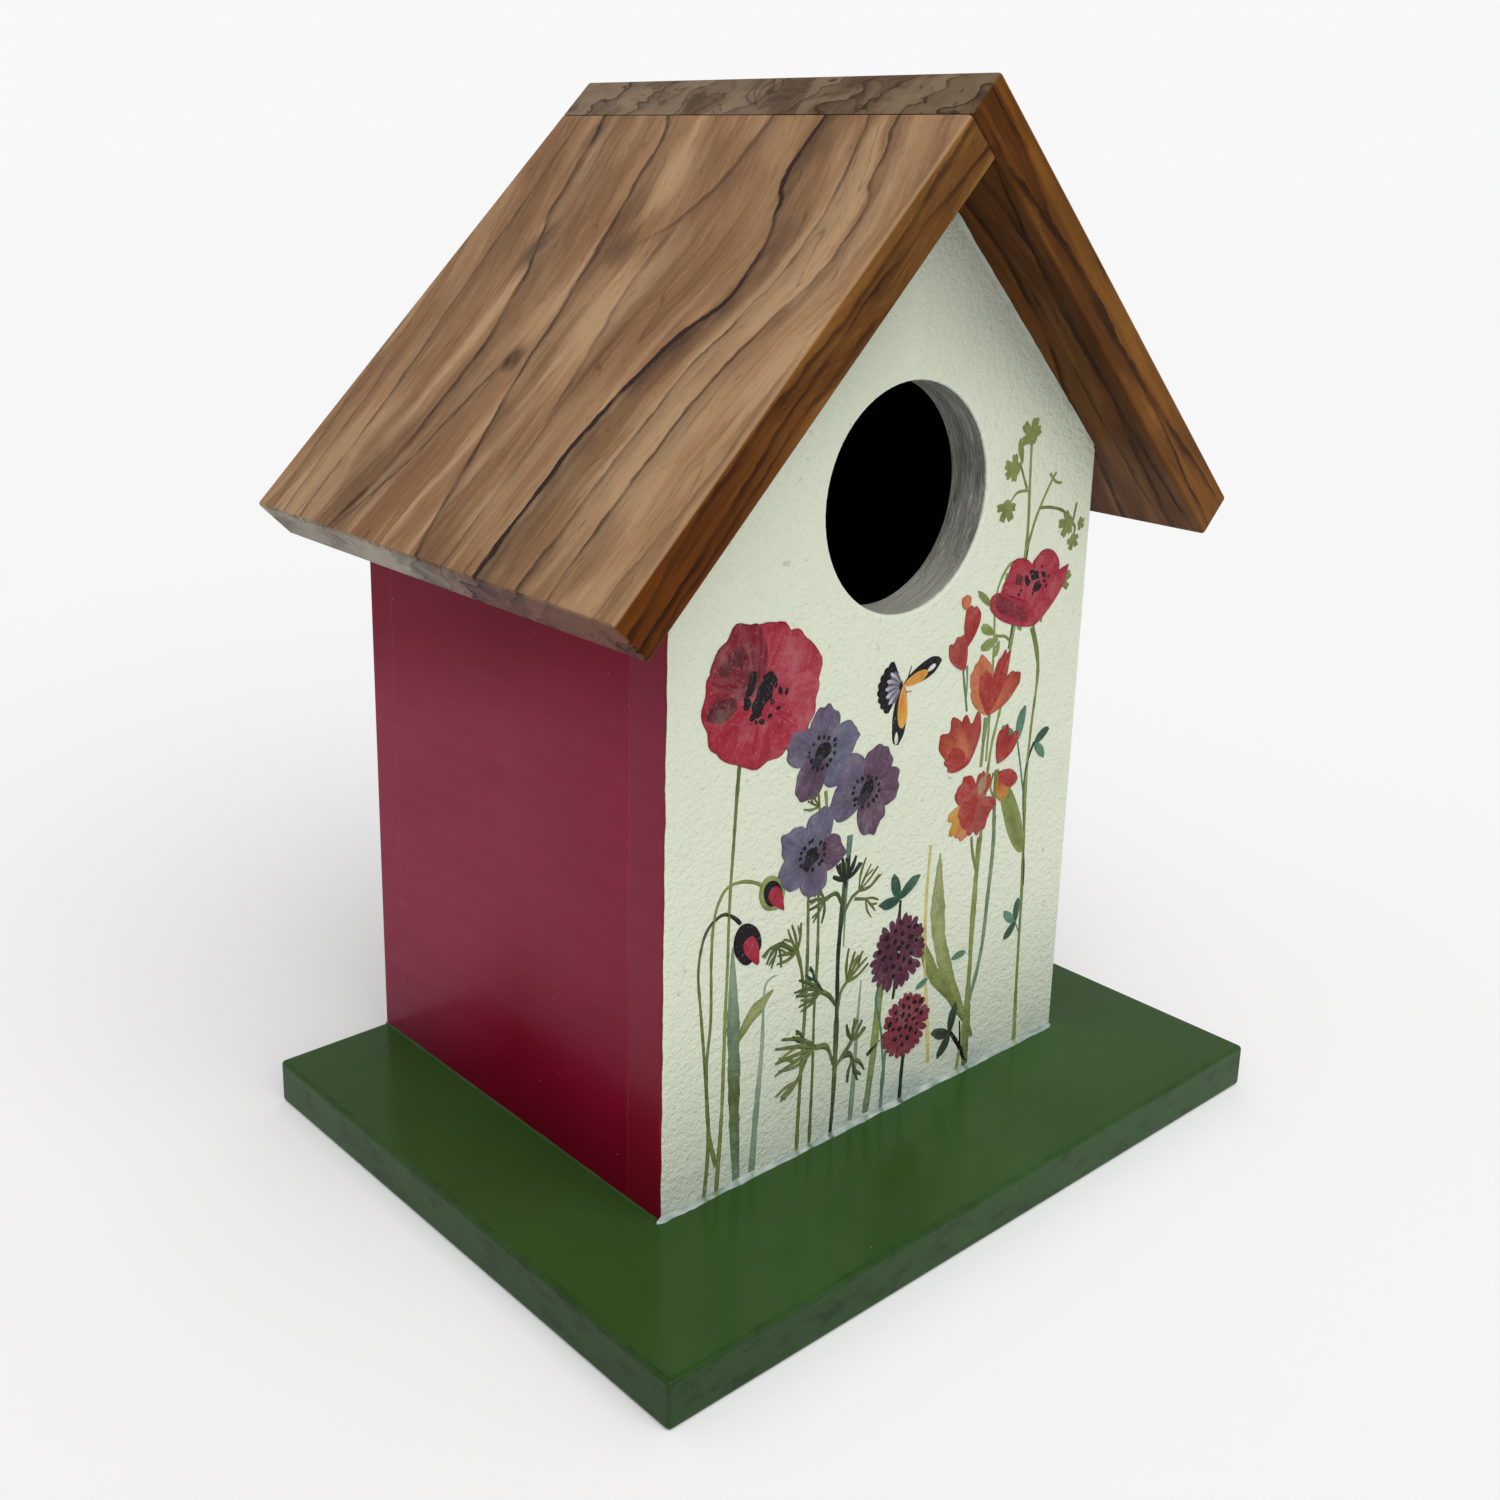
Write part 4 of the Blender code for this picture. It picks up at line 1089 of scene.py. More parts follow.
def paint_anemones(sheet):
    """Three violet anemones with dark middles ringed by dots."""
    sheet.plant(ANEMONES[0])
    flowers = (
        ((29, 104), 11.5, 0.95,
         ((170, VIOLET_BLUE), (98, VIOLET), (225, VIOLET_BLUE), (22, VIOLET), (299, VIOLET_ROSE))),
        ((13.5, 91), 12, 1.0,
         ((48, VIOLET), (124, VIOLET_ROSE), (-8, VIOLET), (186, VIOLET_ROSE), (250, VIOLET_ROSE))),
        ((31, 79), 11, 0.9,
         ((110, VIOLET_BLUE), (188, VIOLET_ROSE), (36, VIOLET_BLUE), (334, VIOLET_BLUE), (262, VIOLET))),
    )
    for (u, v), size, middle, petals in flowers:
        for k, (degrees, tint) in enumerate(petals):
            length = size * (1.03 + 0.08 * ripple(u, k))
            sheet.petal((u, v), degrees, length, size * 0.88, blend(tint, BLACK, 0.35), tint, ruffle=0.07,
                        broad=0.62, point=0.10, edge=0.62)
        for k in range(9):
            x, y = turned((2.5 * middle + 0.9 * ripple(k * 1.9, v), 0), k * 40 + 12 * ripple(k, u))
            sheet.stroke([(u, v), (u + x * 0.5, v + y * 0.5), (u + x, v + y)], [0.9, 0.7], BLACK, step=0.5)
        sheet.dab((u, v), 2.3 * middle, BLACK, 1.35, -38, rough=0.6, edge=1.0)
        sheet.dab((u + 1.2, v - 1.6), 1.5 * middle, blend(BLACK, VIOLET, 0.15), 1.6, -20, rough=0.5,
                  edge=1.0)
        for k in range(15):
            turn = math.radians(k * 24 + 14 * ripple(k * 1.7, u))
            reach = (3.9 + 1.1 * ripple(k * 2.1, v, 3)) * middle
            at = u + math.cos(turn) * reach * 1.15, v + math.sin(turn) * reach
            sheet.dab(at, 0.42 + 0.22 * abs(ripple(k * 3.3, u)), BLACK, 1.25, math.degrees(turn), edge=1.0)


def paint_clovers(sheet):
    """Two clover heads of many small florets, with dark flecks."""
    heads = (((-39.5, 43.5), 9.8, CLOVER_DARK, CLOVER_PURPLE), ((-43.5, 22), 8.6, CLOVER_PINK, CLOVER_PINK))
    sheet.plant(*CLOVERS)
    for (u, v), size, tint, other in heads:
        for ring, (count, start, long) in enumerate(((25, 0.56, 0.48), (19, 0.32, 0.44), (13, 0.06, 0.42))):
            for k in range(count):
                degrees = 360 * k / count + ring * 7 + 6 * ripple(k * 1.9, ring, u)
                x, y = turned((size * start, 0), degrees)
                length = size * (long + 0.10 * ripple(k * 2.7, ring, v))
                mix = 0.5 + 0.5 * ripple(k * 0.5, ring * 2.0, v)
                sheet.petal((u + x, v + y), degrees, length, size * 0.21, blend(tint, BLACK, 0.1),
                            blend(tint, other, mix), ruffle=0.05, broad=0.62, rings=2, steps=12)
        for k in range(24):
            turn = k * 2.4
            reach = size * 0.16 * math.sqrt(k)
            at = u + math.cos(turn) * reach, v + 1.5 + math.sin(turn) * reach
            sheet.dab(at, 0.60 + 0.28 * ripple(k * 1.3, u), BLACK, 1.3, k * 40, edge=1.0)


def paint_buds(sheet):
    """Two nodding poppy buds just opening."""
    sheet.plant(BUDS[0], rise=-14)
    buds = (((46, 91), 239, 9.5, 7.6, LEAF), ((53, 81.5), 247, 11, 8.2, BLACK))
    for root, degrees, length, width, shell in buds:
        sheet.petal(root, degrees, length, width, shell, shell, broad=0.52, ruffle=0.03)
        x, y = turned((1.2, 0), degrees)
        sheet.petal((root[0] + x, root[1] + y), degrees - 2, length * 0.82, width * 0.74, BLACK, BLACK,
                    broad=0.5, ruffle=0.04)
        x, y = turned((length * 0.36, 0), degrees)
        sheet.petal((root[0] + x - 0.3, root[1] + y), degrees - 4, length * 0.80, width * 0.62, POPPY,
                    POPPY, broad=0.42, ruffle=0.05, point=0.25)


def paint_butterfly(sheet):
    """A small butterfly with folded amber wings."""
    sheet.plant(17, rise=-10)
    body = (15, 125)
    sheet.petal(body, 163, 14, 4.6, BLACK, BLACK, broad=0.62, ruffle=0.03)
    sheet.petal(body, 168, 9.2, 3.0, *WING_AMBER, broad=0.6, ruffle=0.02, edge=0.9)
    sheet.petal((6.6, 127), 158, 3.4, 1.3, WING_WHITE, WING_WHITE, ruffle=0.0, edge=1.0, rings=2)
    sheet.petal(body, 274, 15, 5.0, BLACK, BLACK, broad=0.55, ruffle=0.03)
    sheet.petal(body, 268, 11, 3.7, *WING_ORANGE, broad=0.62, ruffle=0.02, edge=0.9)
    sheet.petal((16.6, 113.6), 268, 3.2, 1.3, WING_WHITE, WING_WHITE, ruffle=0.0, edge=1.0, rings=2)
    wing = [body]
    for k in range(33):
        degrees = 66 - 122 * k / 32
        reach = 8.4 + 0.55 * abs(math.sin(k * math.pi / 4))
        x, y = turned((reach, 0), degrees)
        wing.append((body[0] + x, body[1] + y * 0.86))
    sheet.patch(wing, (body[0] + 2.6, body[1] - 0.2), BLACK, BLACK, edge=1.0)
    for k in range(11):
        degrees = 52 - 100 * k / 10
        x, y = turned((1.4, 0), degrees)
        sheet.petal((body[0] + x, body[1] + y * 0.86), degrees, 5.0 if k % 2 else 4.2, 1.15, WING_DARK,
                    WING_TIPS[k % 2], ruffle=0.0, rings=2, steps=12, broad=0.7)
    sheet.stroke([(15.4, 126.2), (14.2, 123.4), (11.6, 123)], [0.8, 0.6, 0.2], rgb(190, 130, 90))
    sheet.stroke([(13.4, 126.4), (12.2, 129.4)], [0.15, 0.1], BLACK)


def fan(sheet, stalk, degrees, spread, count, length, width, tint):
    """A stalk ending in narrow fingers that spread out and droop."""
    sheet.stroke(stalk, [width * 1.1, width * 1.3], [blend(tint, INK_GREEN, 0.5), tint], step=0.6,
                 wobble=0.2)
    u, v = stalk[-1]
    for k in range(count):
        share = k / (count - 1) - 0.5
        out = degrees + spread * share + 7 * ripple(k * 2.3, u, v)
        reach = length * (1.02 + 0.30 * ripple(k * 1.7, v, u))
        middle = turned((reach * 0.5, 0), out)
        tip = turned((reach, 0), out - 16 * share + 10 * ripple(k * 3.1, u))
        middle = u + middle[0], v + middle[1]
        tip = u + tip[0], v + tip[1]
        sheet.stroke([(u, v), middle, tip], [width * 0.8, width * 1.1, width * 0.6],
                     [tint, blend(tint, INK_GREEN, 0.45)], step=0.6, wobble=0.2)
        if k % 2:
            fork = turned((reach * 0.45, 0), out + 34 * (1 if share < 0 else -1))
            sheet.stroke([middle, (middle[0] + fork[0], middle[1] + fork[1])], [width, width * 0.7], tint,
                         step=0.5, wobble=0.2)


def paint_fronds(sheet):
    """Finely cut anemone leaves on either side of the dark middle stem."""
    # stalk, direction, spread, fingers, length, width, tint
    fans = (
        ([(19, 54), (16.5, 57), (14, 58)], 136, 84, 4, 7.5, 0.70, OLIVE),
        ([(15.5, 56.5), (13.5, 56), (11.5, 55.5)], 222, 66, 3, 5.2, 0.6, OLIVE),
        ([(20, 56.5), (22, 59.5), (26, 59)], -18, 150, 5, 5.2, 0.8, MOSS),
        ([(19, 60), (19, 61.5), (18.8, 62)], 90, 150, 6, 5.2, 1.1, INK_GREEN),
        ([(32, 40), (33, 45), (34.5, 49.5)], 42, 128, 6, 7.0, 0.75, OLIVE),
        ([(36, 50), (39, 52), (41, 52.8)], -58, 100, 4, 5.4, 0.8, MOSS),
        ([(20.5, 32.5), (23, 35.5), (26, 37.5)], 2, 74, 5, 8.2, 0.8, MOSS),
        ([(25.5, 37.5), (27, 39.5), (28.4, 41)], 46, 50, 2, 3.6, 0.7, PINE),
        ([(20, 30), (19, 35), (17, 37)], 128, 84, 5, 8.0, 0.75, OLIVE),
        ([(20.5, 18), (23, 23), (27, 24.2)], 6, 52, 5, 13.0, 0.9, OLIVE),
        ([(30, 22.5), (31.5, 20), (33, 18)], -20, 36, 3, 6.2, 0.8, OLIVE),
        ([(27, 24.2), (29, 26), (31, 27)], 40, 40, 2, 4.6, 0.7, MOSS),
        ([(20, 17), (16.5, 19.6), (14, 22)], 112, 120, 4, 5.0, 0.95, MOSS),
        ([(17, 19), (14.6, 18.6), (13.8, 17)], 250, 80, 3, 6.0, 0.95, MOSS),
        ([(27, 78), (28.5, 80), (29, 81)], 40, 90, 4, 5.0, 0.5, LEAF),
    )
    sheet.plant(*ANEMONES)
    for stalk, degrees, spread, count, length, width, tint in fans:
        fan(sheet, stalk, degrees, spread, count, length, width, tint)


def lobed_leaf(sheet, centre, degrees, size, tint):
    """A small leaf cut into four blunt, lightly notched lobes."""
    seed = sheet.strokes_done * 1.1
    lobes = [(at + 12 * ripple(seed, at), reach + 0.3 * ripple(at, seed, 4))
             for at, reach in ((-98, 0.66), (-42, 1.0), (14, 1.12), (72, 0.84))]
    outline = []
    for k in range(72):
        turn = -180 + 5 * k
        swell = max(reach * math.exp(-((turn - at) / 24) ** 4) for at, reach in lobes)
        notch = max(math.exp(-((turn - at) / 8) ** 2) for at, reach in lobes)
        far = size * (0.44 + 0.62 * swell - 0.14 * notch) * (1 + 0.12 * ripple(turn / 40, seed))
        x, y = turned((far, 0), degrees + turn)
        outline.append((centre[0] + x, centre[1] + y))
    sheet.patch(outline, centre, tint, tint, rings=3, edge=0.86)


def paint_sprig(sheet):
    """The tall light green sprig, with lobed leaves."""
    sheet.plant(*SPRIG)
    sheet.stroke([(-27.5, 1), (-29, 12), (-30.5, 24), (-30, 45), (-31.5, 70), (-33, 90), (-36, 102),
                  (-38.5, 118), (-41, 134), (-42, 147), (-41.5, 160), (-41, 173)],
                 [1.5, 1.2, 1.5, 1.7, 1.3, 1.1, 1.1, 1.3, 1.2, 0.9], LEAF)
    sheet.stroke([(-37.5, 117), (-39, 126), (-41.5, 136), (-42.8, 143)], [0.5, 1.1, 1.2, 0.4], INK_GREEN,
                 wobble=0.3)
    sheet.stroke([(-42.4, 143), (-45, 150), (-49, 157), (-52, 161)], [1.1, 1.0, 0.8], LEAF)
    sheet.stroke([(-31.5, 88), (-31.8, 104), (-31.6, 118), (-31, 127), (-30, 131)], [0.9, 0.9, 0.8], LEAF)
    sheet.stroke([(-41, 134), (-39.5, 138), (-36.5, 139.5), (-33.5, 137), (-31.5, 133), (-30.6, 128)],
                 [1.2, 1.1, 0.9, 0.8], LEAF)
    sheet.stroke([(-41, 157.5), (-37, 157.5), (-34.5, 155.5)], [0.8, 0.7], LEAF)
    sheet.stroke([(-40.5, 158), (-38.5, 162), (-37, 165)], [0.9, 0.8], OLIVE)
    sheet.stroke([(-31.6, 100), (-29.5, 105), (-27, 108.5)], [0.9, 0.7, 0.3], OLIVE)
    sheet.stroke([(-50, 122), (-51.5, 127), (-55, 131)], [1.0, 0.8], OLIVE)
    sheet.stroke([(-60.5, 147), (-61.5, 152)], [0.9, 0.8], OLIVE)
    sheet.stroke([(-46.5, 152.5), (-51, 152), (-56, 150.5), (-60, 147)], [0.9, 0.8, 0.8], OLIVE)
    sheet.stroke([(-49.5, 161), (-52, 158.5), (-54.5, 158)], [0.9, 0.7], LEAF)
    sheet.stroke([(-60, 147), (-61.6, 145.4), (-61, 143)], [1.0, 0.8], OLIVE)
    leaves = (
        ((-35.4, 163.6), 10, 4.2), ((-33, 154.4), -75, 3.8), ((-41, 171), 85, 4.8),
        ((-43.6, 135.2), 175, 3.3), ((-38, 135.4), 5, 3.5), ((-58.8, 147), -10, 4.1),
        ((-61, 142.6), -85, 2.9), ((-63.4, 146.4), 200, 2.1), ((-57.8, 131.6), 140, 3.7),
        ((-50.4, 131), 80, 2.9),
    )
    for centre, degrees, size in leaves:
        lobed_leaf(sheet, centre, degrees, size, blend(LEAF, OLIVE, 0.5 + 0.5 * ripple(centre[0])))
    shoots = (
        ((-30.5, 129), 38, 8, 2.0), ((-31.5, 122), 28, 6, 2.6), ((-33, 120.5), -14, 6.5, 3.0),
        ((-33.5, 120), -72, 4.4, 2.0), ((-42, 121), 66, 4.4, 2.2), ((-38, 164.5), 76, 6.5, 2.0),
    )
    for root, degrees, length, width in shoots:
        sheet.petal(root, degrees, length, width, OLIVE, LEAF, rings=3, broad=0.62)
    sheet.stroke([(-39, 118), (-36, 120.5), (-32, 121.5), (-30, 123.5)], [0.8, 0.9, 0.7], LEAF)


def paint_grasses(sheet):
    """Broad blades of grass and the washed-out stems behind the flowers."""
    sheet.plant(*BLADES)
    sheet.stroke([(6.2, 70), (6.8, 56), (6.2, 40), (4, 22), (2.4, 7)], [1.2, 1.4, 1.5, 1.2, 1.8, 1.4],
                 STRAW, edge=0.9)
    sheet.stroke([(-15, 9), (-8, 22), (-1, 37), (2, 50), (2.4, 67)], [1.6, 3.6, 5.6, 6.2, 0.4],
                 [OLIVE, LEAF, LEAF_PALE, LEAF_PALE], step=1.2)
    sheet.stroke([(-11, 15), (-4, 25), (3, 34), (8, 44), (12.5, 51)], [1.0, 2.6, 5.0, 3.4, 0.4],
                 [MOSS, LEAF, OLIVE], step=1.2)
    sheet.plant(*ANEMONES)
    sheet.stroke([(18, 72), (18.6, 60), (18.6, 46)], [2.4, 1.2, 0.5], [TEAL, SEA])
    sheet.stroke([(13.6, 1.5), (12.8, 14), (12.4, 26), (11.8, 36)], [2.0, 1.9, 1.3, 0.5], [SEA, SEA_PALE])
    sheet.stroke([(8, 1.5), (6, 16), (4.8, 30), (3.8, 44)], [2.2, 3.0, 3.0, 0.6], [SEA, LEAF, SEA])
    sheet.plant(*BUDS)
    sheet.stroke([(41, 61), (43.5, 60.5), (45, 57), (45.2, 40), (46.5, 20), (47.5, 1.5)],
                 [0.7, 1.0, 1.4, 2.0, 2.1, 2.4], [SEA_PALE, SEA_PALE, SEA], edge=0.85)
    sheet.stroke([(52.5, 1.5), (53.5, 20), (54, 36), (54.6, 52), (55.4, 75)], [2.6, 3.6, 4.2, 3.8, 0.4],
                 [SEA, MOSS, SEA, SEA_PALE], step=1.2)
    sheet.stroke([(42, 57), (46, 54), (50, 50), (53.2, 45)], [0.6, 4.8, 3.8, 1.2], [LEAF, LEAF_PALE, OLIVE],
                 step=1.0)
    sheet.plant(*CUPPED_POPPY)
    sheet.petal((-55, 51), 63, 25, 7.4, OLIVE, LEAF, broad=0.55, point=0.35, ruffle=0.05)


def paint_stems(sheet):
    """The flowers' stems and their side shoots, one stroke for each."""
    plants = (
        (CUPPED_POPPY, (
            ([(-57.8, 1), (-57, 20), (-56.5, 40), (-55.6, 55), (-54.8, 70), (-55.3, 82), (-56.4, 94),
              (-55.4, 100), (-52.6, 106.4)],
             [1.7, 1.2, 1.1, 1.3, 1.2, 1.0, 1.1, 2.0], [LEAF, OLIVE, LEAF, OLIVE]),
            ([(-57, 42), (-56.3, 48), (-55.8, 52)], [0.5, 1.1, 0.5], INK_GREEN),
            ([(-55.6, 56), (-54, 66), (-54.6, 73), (-57, 78)], [0.9, 0.6, 1.0], [TEAL, INK_GREEN]),
            ([(-54, 66), (-52, 73), (-49.8, 80)], [0.7, 0.6], TEAL),
            ([(-57, 29), (-54.5, 33.4)], [0.5, 0.4], TEAL),
        )),
        (FREESIAS, (
            ([(-14.8, 1), (-14.4, 12), (-14.4, 30), (-14.8, 46), (-14.6, 58), (-15, 61)],
             [2.2, 3.2, 1.6, 1.4, 1.4, 1.9],
             [MOSS, LEAF, LEAF, OLIVE]),
            ([(-14.6, 17), (-18.6, 30), (-20, 45), (-20.8, 58), (-20, 70), (-20.2, 77)],
             [1.6, 1.3, 1.4, 1.6, 1.3, 1.7],
             [SEA, SEA, OLIVE]),
            ([(-19.8, 70), (-18, 73), (-19, 76.5)], [0.8, 0.9], OLIVE),
            ([(-14.2, 53), (-12.4, 58), (-11.6, 62)], [1.0, 0.9], OLIVE),
            ([(-13.6, 79), (-14, 86), (-14.6, 91)], [1.2, 1.2, 2.2], [LEAF, SEA]),
            ([(-6.6, 94), (-5.4, 99), (-4.2, 104)], [0.8, 0.8], OLIVE),
            ([(-6, 96), (-6, 101), (-5.6, 105)], [0.6, 0.7], SEA),
            ([(-15, 2), (-12, 7), (-8, 12)], [1.6, 1.0], BLACK),
            ([(-12.4, 7), (-11.6, 14)], [0.8, 0.6], BLACK),
        )),
        (CLOVERS, (
            ([(-43.8, 15), (-43.2, 8), (-43, 1)], [1.2, 1.3, 1.2], INK_GREEN),
            ([(-36.6, 17), (-36, 9), (-35.8, 1)], [0.9, 1.4, 1.3], TEAL),
            ([(-38.8, 34), (-38.4, 31)], [1.0, 0.9], INK_GREEN),
            ([(-39.2, 53), (-39.4, 58)], [1.2, 1.0], INK_GREEN),
            ([(-34, 38), (-32, 33), (-34.4, 24), (-36, 12)], [0.9, 0.6], TEAL),
            ([(-36, 21.5), (-32.5, 20)], [0.4, 0.5], TEAL),
            ([(-33, 20.2), (-29.6, 18.2)], [0.8, 1.3], INK_GREEN),
        )),
        (ANEMONES, (
            ([(20.6, 1), (20, 12), (20, 30), (20.4, 44), (19.6, 56), (18.8, 66)],
             [1.0, 1.5, 1.6, 1.2, 1.6, 1.0],
             [INK_GREEN, MOSS, INK_GREEN, INK_GREEN, MOSS]),
            ([(28, 1), (27.8, 18), (28, 34), (27.6, 46), (28, 62)], [1.2, 0.9, 0.8, 1.1, 0.7], MOSS),
            ([(32.4, 1), (32, 16), (31.2, 34), (31, 48), (31.4, 60), (31, 66)], [1.3, 1.0, 1.1, 0.8],
             [OLIVE, MOSS]),
            ([(27, 84), (26.4, 80), (26, 72)], [1.0, 0.7], LEAF),
        )),
        (OPEN_POPPY, (
            ([(58.8, 1), (57.6, 24), (57.2, 50), (56.8, 66), (56.6, 84), (55.8, 100), (55.2, 112),
              (54.4, 125)],
             [1.5, 1.0, 1.0, 0.8, 0.9, 1.2], [OLIVE, LEAF, MOSS]),
        )),
        (BUDS, (
            ([(59.2, 9), (61.6, 22), (62.6, 40), (61.6, 56), (61.8, 74), (61, 86), (58, 92.6), (53.4, 93.4),
              (48.6, 91.6), (46.2, 89.6)],
             [1.2, 1.0, 0.8, 0.8, 1.0], [OLIVE, OLIVE, LEAF]),
            ([(62.6, 1), (61.6, 18), (63, 40), (64.6, 58), (65.6, 72), (63.6, 82), (59, 85.6), (55.6, 84),
              (53, 81)],
             [1.2, 1.0, 0.8, 0.8, 1.0], [OLIVE, MOSS, OLIVE, BLACK]),
        )),
    )
    for place, stems in plants:
        sheet.plant(*place)
        for points, widths, tints in stems:
            sheet.stroke(points, widths, tints)


def paint_leaflets(sheet):
    """Plain leaves beside the stems, in threes, in pairs and single."""
    sprays = (
        (CLOVERS, (-39, 58.5), ((140, PINE), (62, PINE), (-6, PINE)), 8.4),
        (CUPPED_POPPY, (-49.8, 79.8), ((97, TEAL), (26, TEAL)), 8.4),
        (CUPPED_POPPY, (-57, 77.6), ((146, PINE), (212, TEAL)), 6.6),
        (CUPPED_POPPY, (-54.5, 33.4), ((28, TEAL), (88, PINE), (-44, PINE)), 6.4),
        (FREESIAS, (-7.6, 12), ((96, INK_GREEN), (10, INK_GREEN), (-58, INK_GREEN)), 8.0),
        (BLADES, (-4.6, 35), ((168, TEAL),), 5.4),
        (BLADES, (4.6, 32.6), ((-26, TEAL),), 4.8),
    )
    for place, root, leaves, size in sprays:
        sheet.plant(*place)
        for k, (degrees, tint) in enumerate(leaves):
            sheet.petal(root, degrees, size * (1 - 0.06 * k), size * 0.40, tint, blend(tint, SEA, 0.12),
                        broad=0.58, point=0.12, rings=4, ruffle=0.05, bend=8)


def paint_panel():
    """The painting on the front, back layers first."""
    layers = (
        ("painted_grasses", 0.05, paint_grasses),
        ("painted_sprig", 0.07, paint_sprig),
        ("painted_stems", 0.12, paint_stems),
        ("painted_leaflets", 0.20, paint_leaflets),
        ("painted_fronds", 0.22, paint_fronds),
        ("painted_freesias", 0.26, paint_freesias),
        ("painted_anemones", 0.26, paint_anemones),
        ("painted_buds", 0.30, paint_buds),
        ("painted_poppies", 0.24, paint_poppies),
        ("painted_clovers", 0.20, paint_clovers),
        ("painted_butterfly", 0.20, paint_butterfly),
    )
    paint = watercolour()
    for name, lift, draw in layers:
        sheet = Sheet(name, lift)
        draw(sheet)
        sheet.piece(paint)


# ---------------------------------------------------------- sealant and seams
def fillet(name, start, end, up, out, height, reach, material, lumps=0.3, hollow=0.30, tint_at=None):
    """A hand-run bead along a corner, from start to end, uneven in height and reach.

    up and out lead away from the corner along its two faces; hollow is how
    far the skin bulges from a straight chamfer, 0.5 being straight.
    """
    start, end, up, out = Vector(start), Vector(end), Vector(up), Vector(out)
    run = (end - start).length
    count = max(2, round(run / (0.8 * MM)))
    arc = 7
    points, tints, rows = [], [], []
    for k in range(count + 1):
        share = k / count
        place = share * run / MM
        corner = start.lerp(end, share) - (up + out) * 0.08 * MM
        close = min(share, 1 - share) * run
        taper = min(1.0, 0.35 + close / (2.2 * MM))
        tall = height * taper * (1 + lumps * ripple(place * 0.16, start.x * 90, start.z * 50)
                                 + 0.4 * lumps * ripple(place * 0.7, 3.0, start.x * 70))
        wide = reach * taper * (1 + lumps * ripple(place * 0.13, 7.0, start.y * 90)
                                + 0.4 * lumps * ripple(place * 0.6, 5.0, start.z * 70))
        middle = corner + (up * tall + out * wide) * (hollow + 0.25 * lumps * ripple(place * 0.35, 1.0,
                                                                                     start.z * 40))
        row = [len(points)]
        points.append(corner)
        for step in range(arc):
            f = step / (arc - 1)
            row.append(len(points))
            bow = (corner + up * tall) * (1 - f) ** 2 + middle * (2 * f * (1 - f))
            points.append(bow + (corner + out * wide) * f * f)
        rows.append(row)
        if tint_at:
            tints += [tint_at(points[i]) for i in row]
    return make_piece(name, points, sweep(rows), material, 50, tints)


SEALANT_PALE = (0.50, 0.55, 0.50)
SEALANT_GREY = (0.24, 0.31, 0.29)
# painted shade for the sealant under the roof
GABLE_SHADE_DARK = (0.34, 0.37, 0.31)
GABLE_SHADE_PALE = (0.50, 0.53, 0.46)
# Each stem's plant, its foot as the plant is drawn, and its colour.
STEM_FEET = (
    (CUPPED_POPPY, -57.8, LEAF), (CLOVERS, -43, INK_GREEN), (CLOVERS, -35.8, TEAL), (SPRIG, -27.5, LEAF),
    (FREESIAS, -14.8, MOSS), (ANEMONES, 8, SEA), (ANEMONES, 13.6, SEA_PALE), (ANEMONES, 20.6, INK_GREEN),
    (ANEMONES, 28, MOSS), (ANEMONES, 32.4, OLIVE), (BUDS, 47.5, SEA), (BUDS, 52.5, SEA),
    (OPEN_POPPY, 58.8, OLIVE), (BUDS, 62.6, OLIVE),
)
FOOT_STEMS = [(plant[0] - u, colour) for plant, u, colour in STEM_FEET]


def sealant_tint(point):
    """The stems' paint runs on over the sealant at the foot of the front."""
    u = point.x / MM
    tint = blend(SEALANT_PALE, SEALANT_GREY, 0.5 + 0.9 * ripple(u * 0.25, point.z * 900, 2.0))
    for stem, colour in FOOT_STEMS:
        near = max(0.0, 1 - abs(u - stem - 0.5 * ripple(point.z * 1500, stem)) / 0.9)
        tint = blend(tint, colour, min(1.0, near * 1.6) * 0.85)
    return tint


def gable_shade_tint(point):
    """Paint over the sealant under the roof, darkened as painted shade, uneven between two tones."""
    return blend(GABLE_SHADE_DARK, GABLE_SHADE_PALE, 0.5 + 0.5 * ripple(point.z * 260, 4.0))


def run_beads():
    """Sealant round the foot of the house and under the roof."""
    white = sealant()
    paint = green()
    corner_x = HALF_WIDTH + 0.2 * MM
    past_corner = 1.0 * MM
    fillet("sealant_front_foot", (-HALF_WIDTH - past_corner, FRONT_Y, FLOOR_Z),
           (corner_x, FRONT_Y, FLOOR_Z), (0, 0, 1), (0, -1, 0), 1.2 * MM, 1.2 * MM, white,
           lumps=0.45, tint_at=sealant_tint)
    for side, sign in (("left", -1), ("right", 1)):
        fillet("seam_" + side + "_foot", (sign * HALF_WIDTH, FRONT_Y, FLOOR_Z),
               (sign * HALF_WIDTH, BACK_Y, FLOOR_Z), (0, 0, 1), (sign, 0, 0), 0.5 * MM, 0.7 * MM, paint,
               lumps=0.6)
        eave = Vector((sign * HALF_WIDTH, FRONT_Y, APEX_Z - HALF_WIDTH))
        top = Vector((0, FRONT_Y, APEX_Z))
        along = (top - eave).normalized()
        down_panel = Vector((-sign * SQRT_HALF, 0, -SQRT_HALF))
        fillet("sealant_" + side + "_gable", eave + along * 1.5 * MM, top - along * 1.5 * MM, down_panel,
               (0, -1, 0), 1.1 * MM, 0.8 * MM, white, lumps=0.45, hollow=0.38,
               tint_at=gable_shade_tint)
    for bead, name in (("sealant_front_foot", "bead_front_foot"), ("seam_left_foot", "bead_left_foot"),
                       ("seam_right_foot", "bead_right_foot"), ("sealant_left_gable", "bead_left_gable"),
                       ("sealant_right_gable", "bead_right_gable")):
        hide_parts(name)


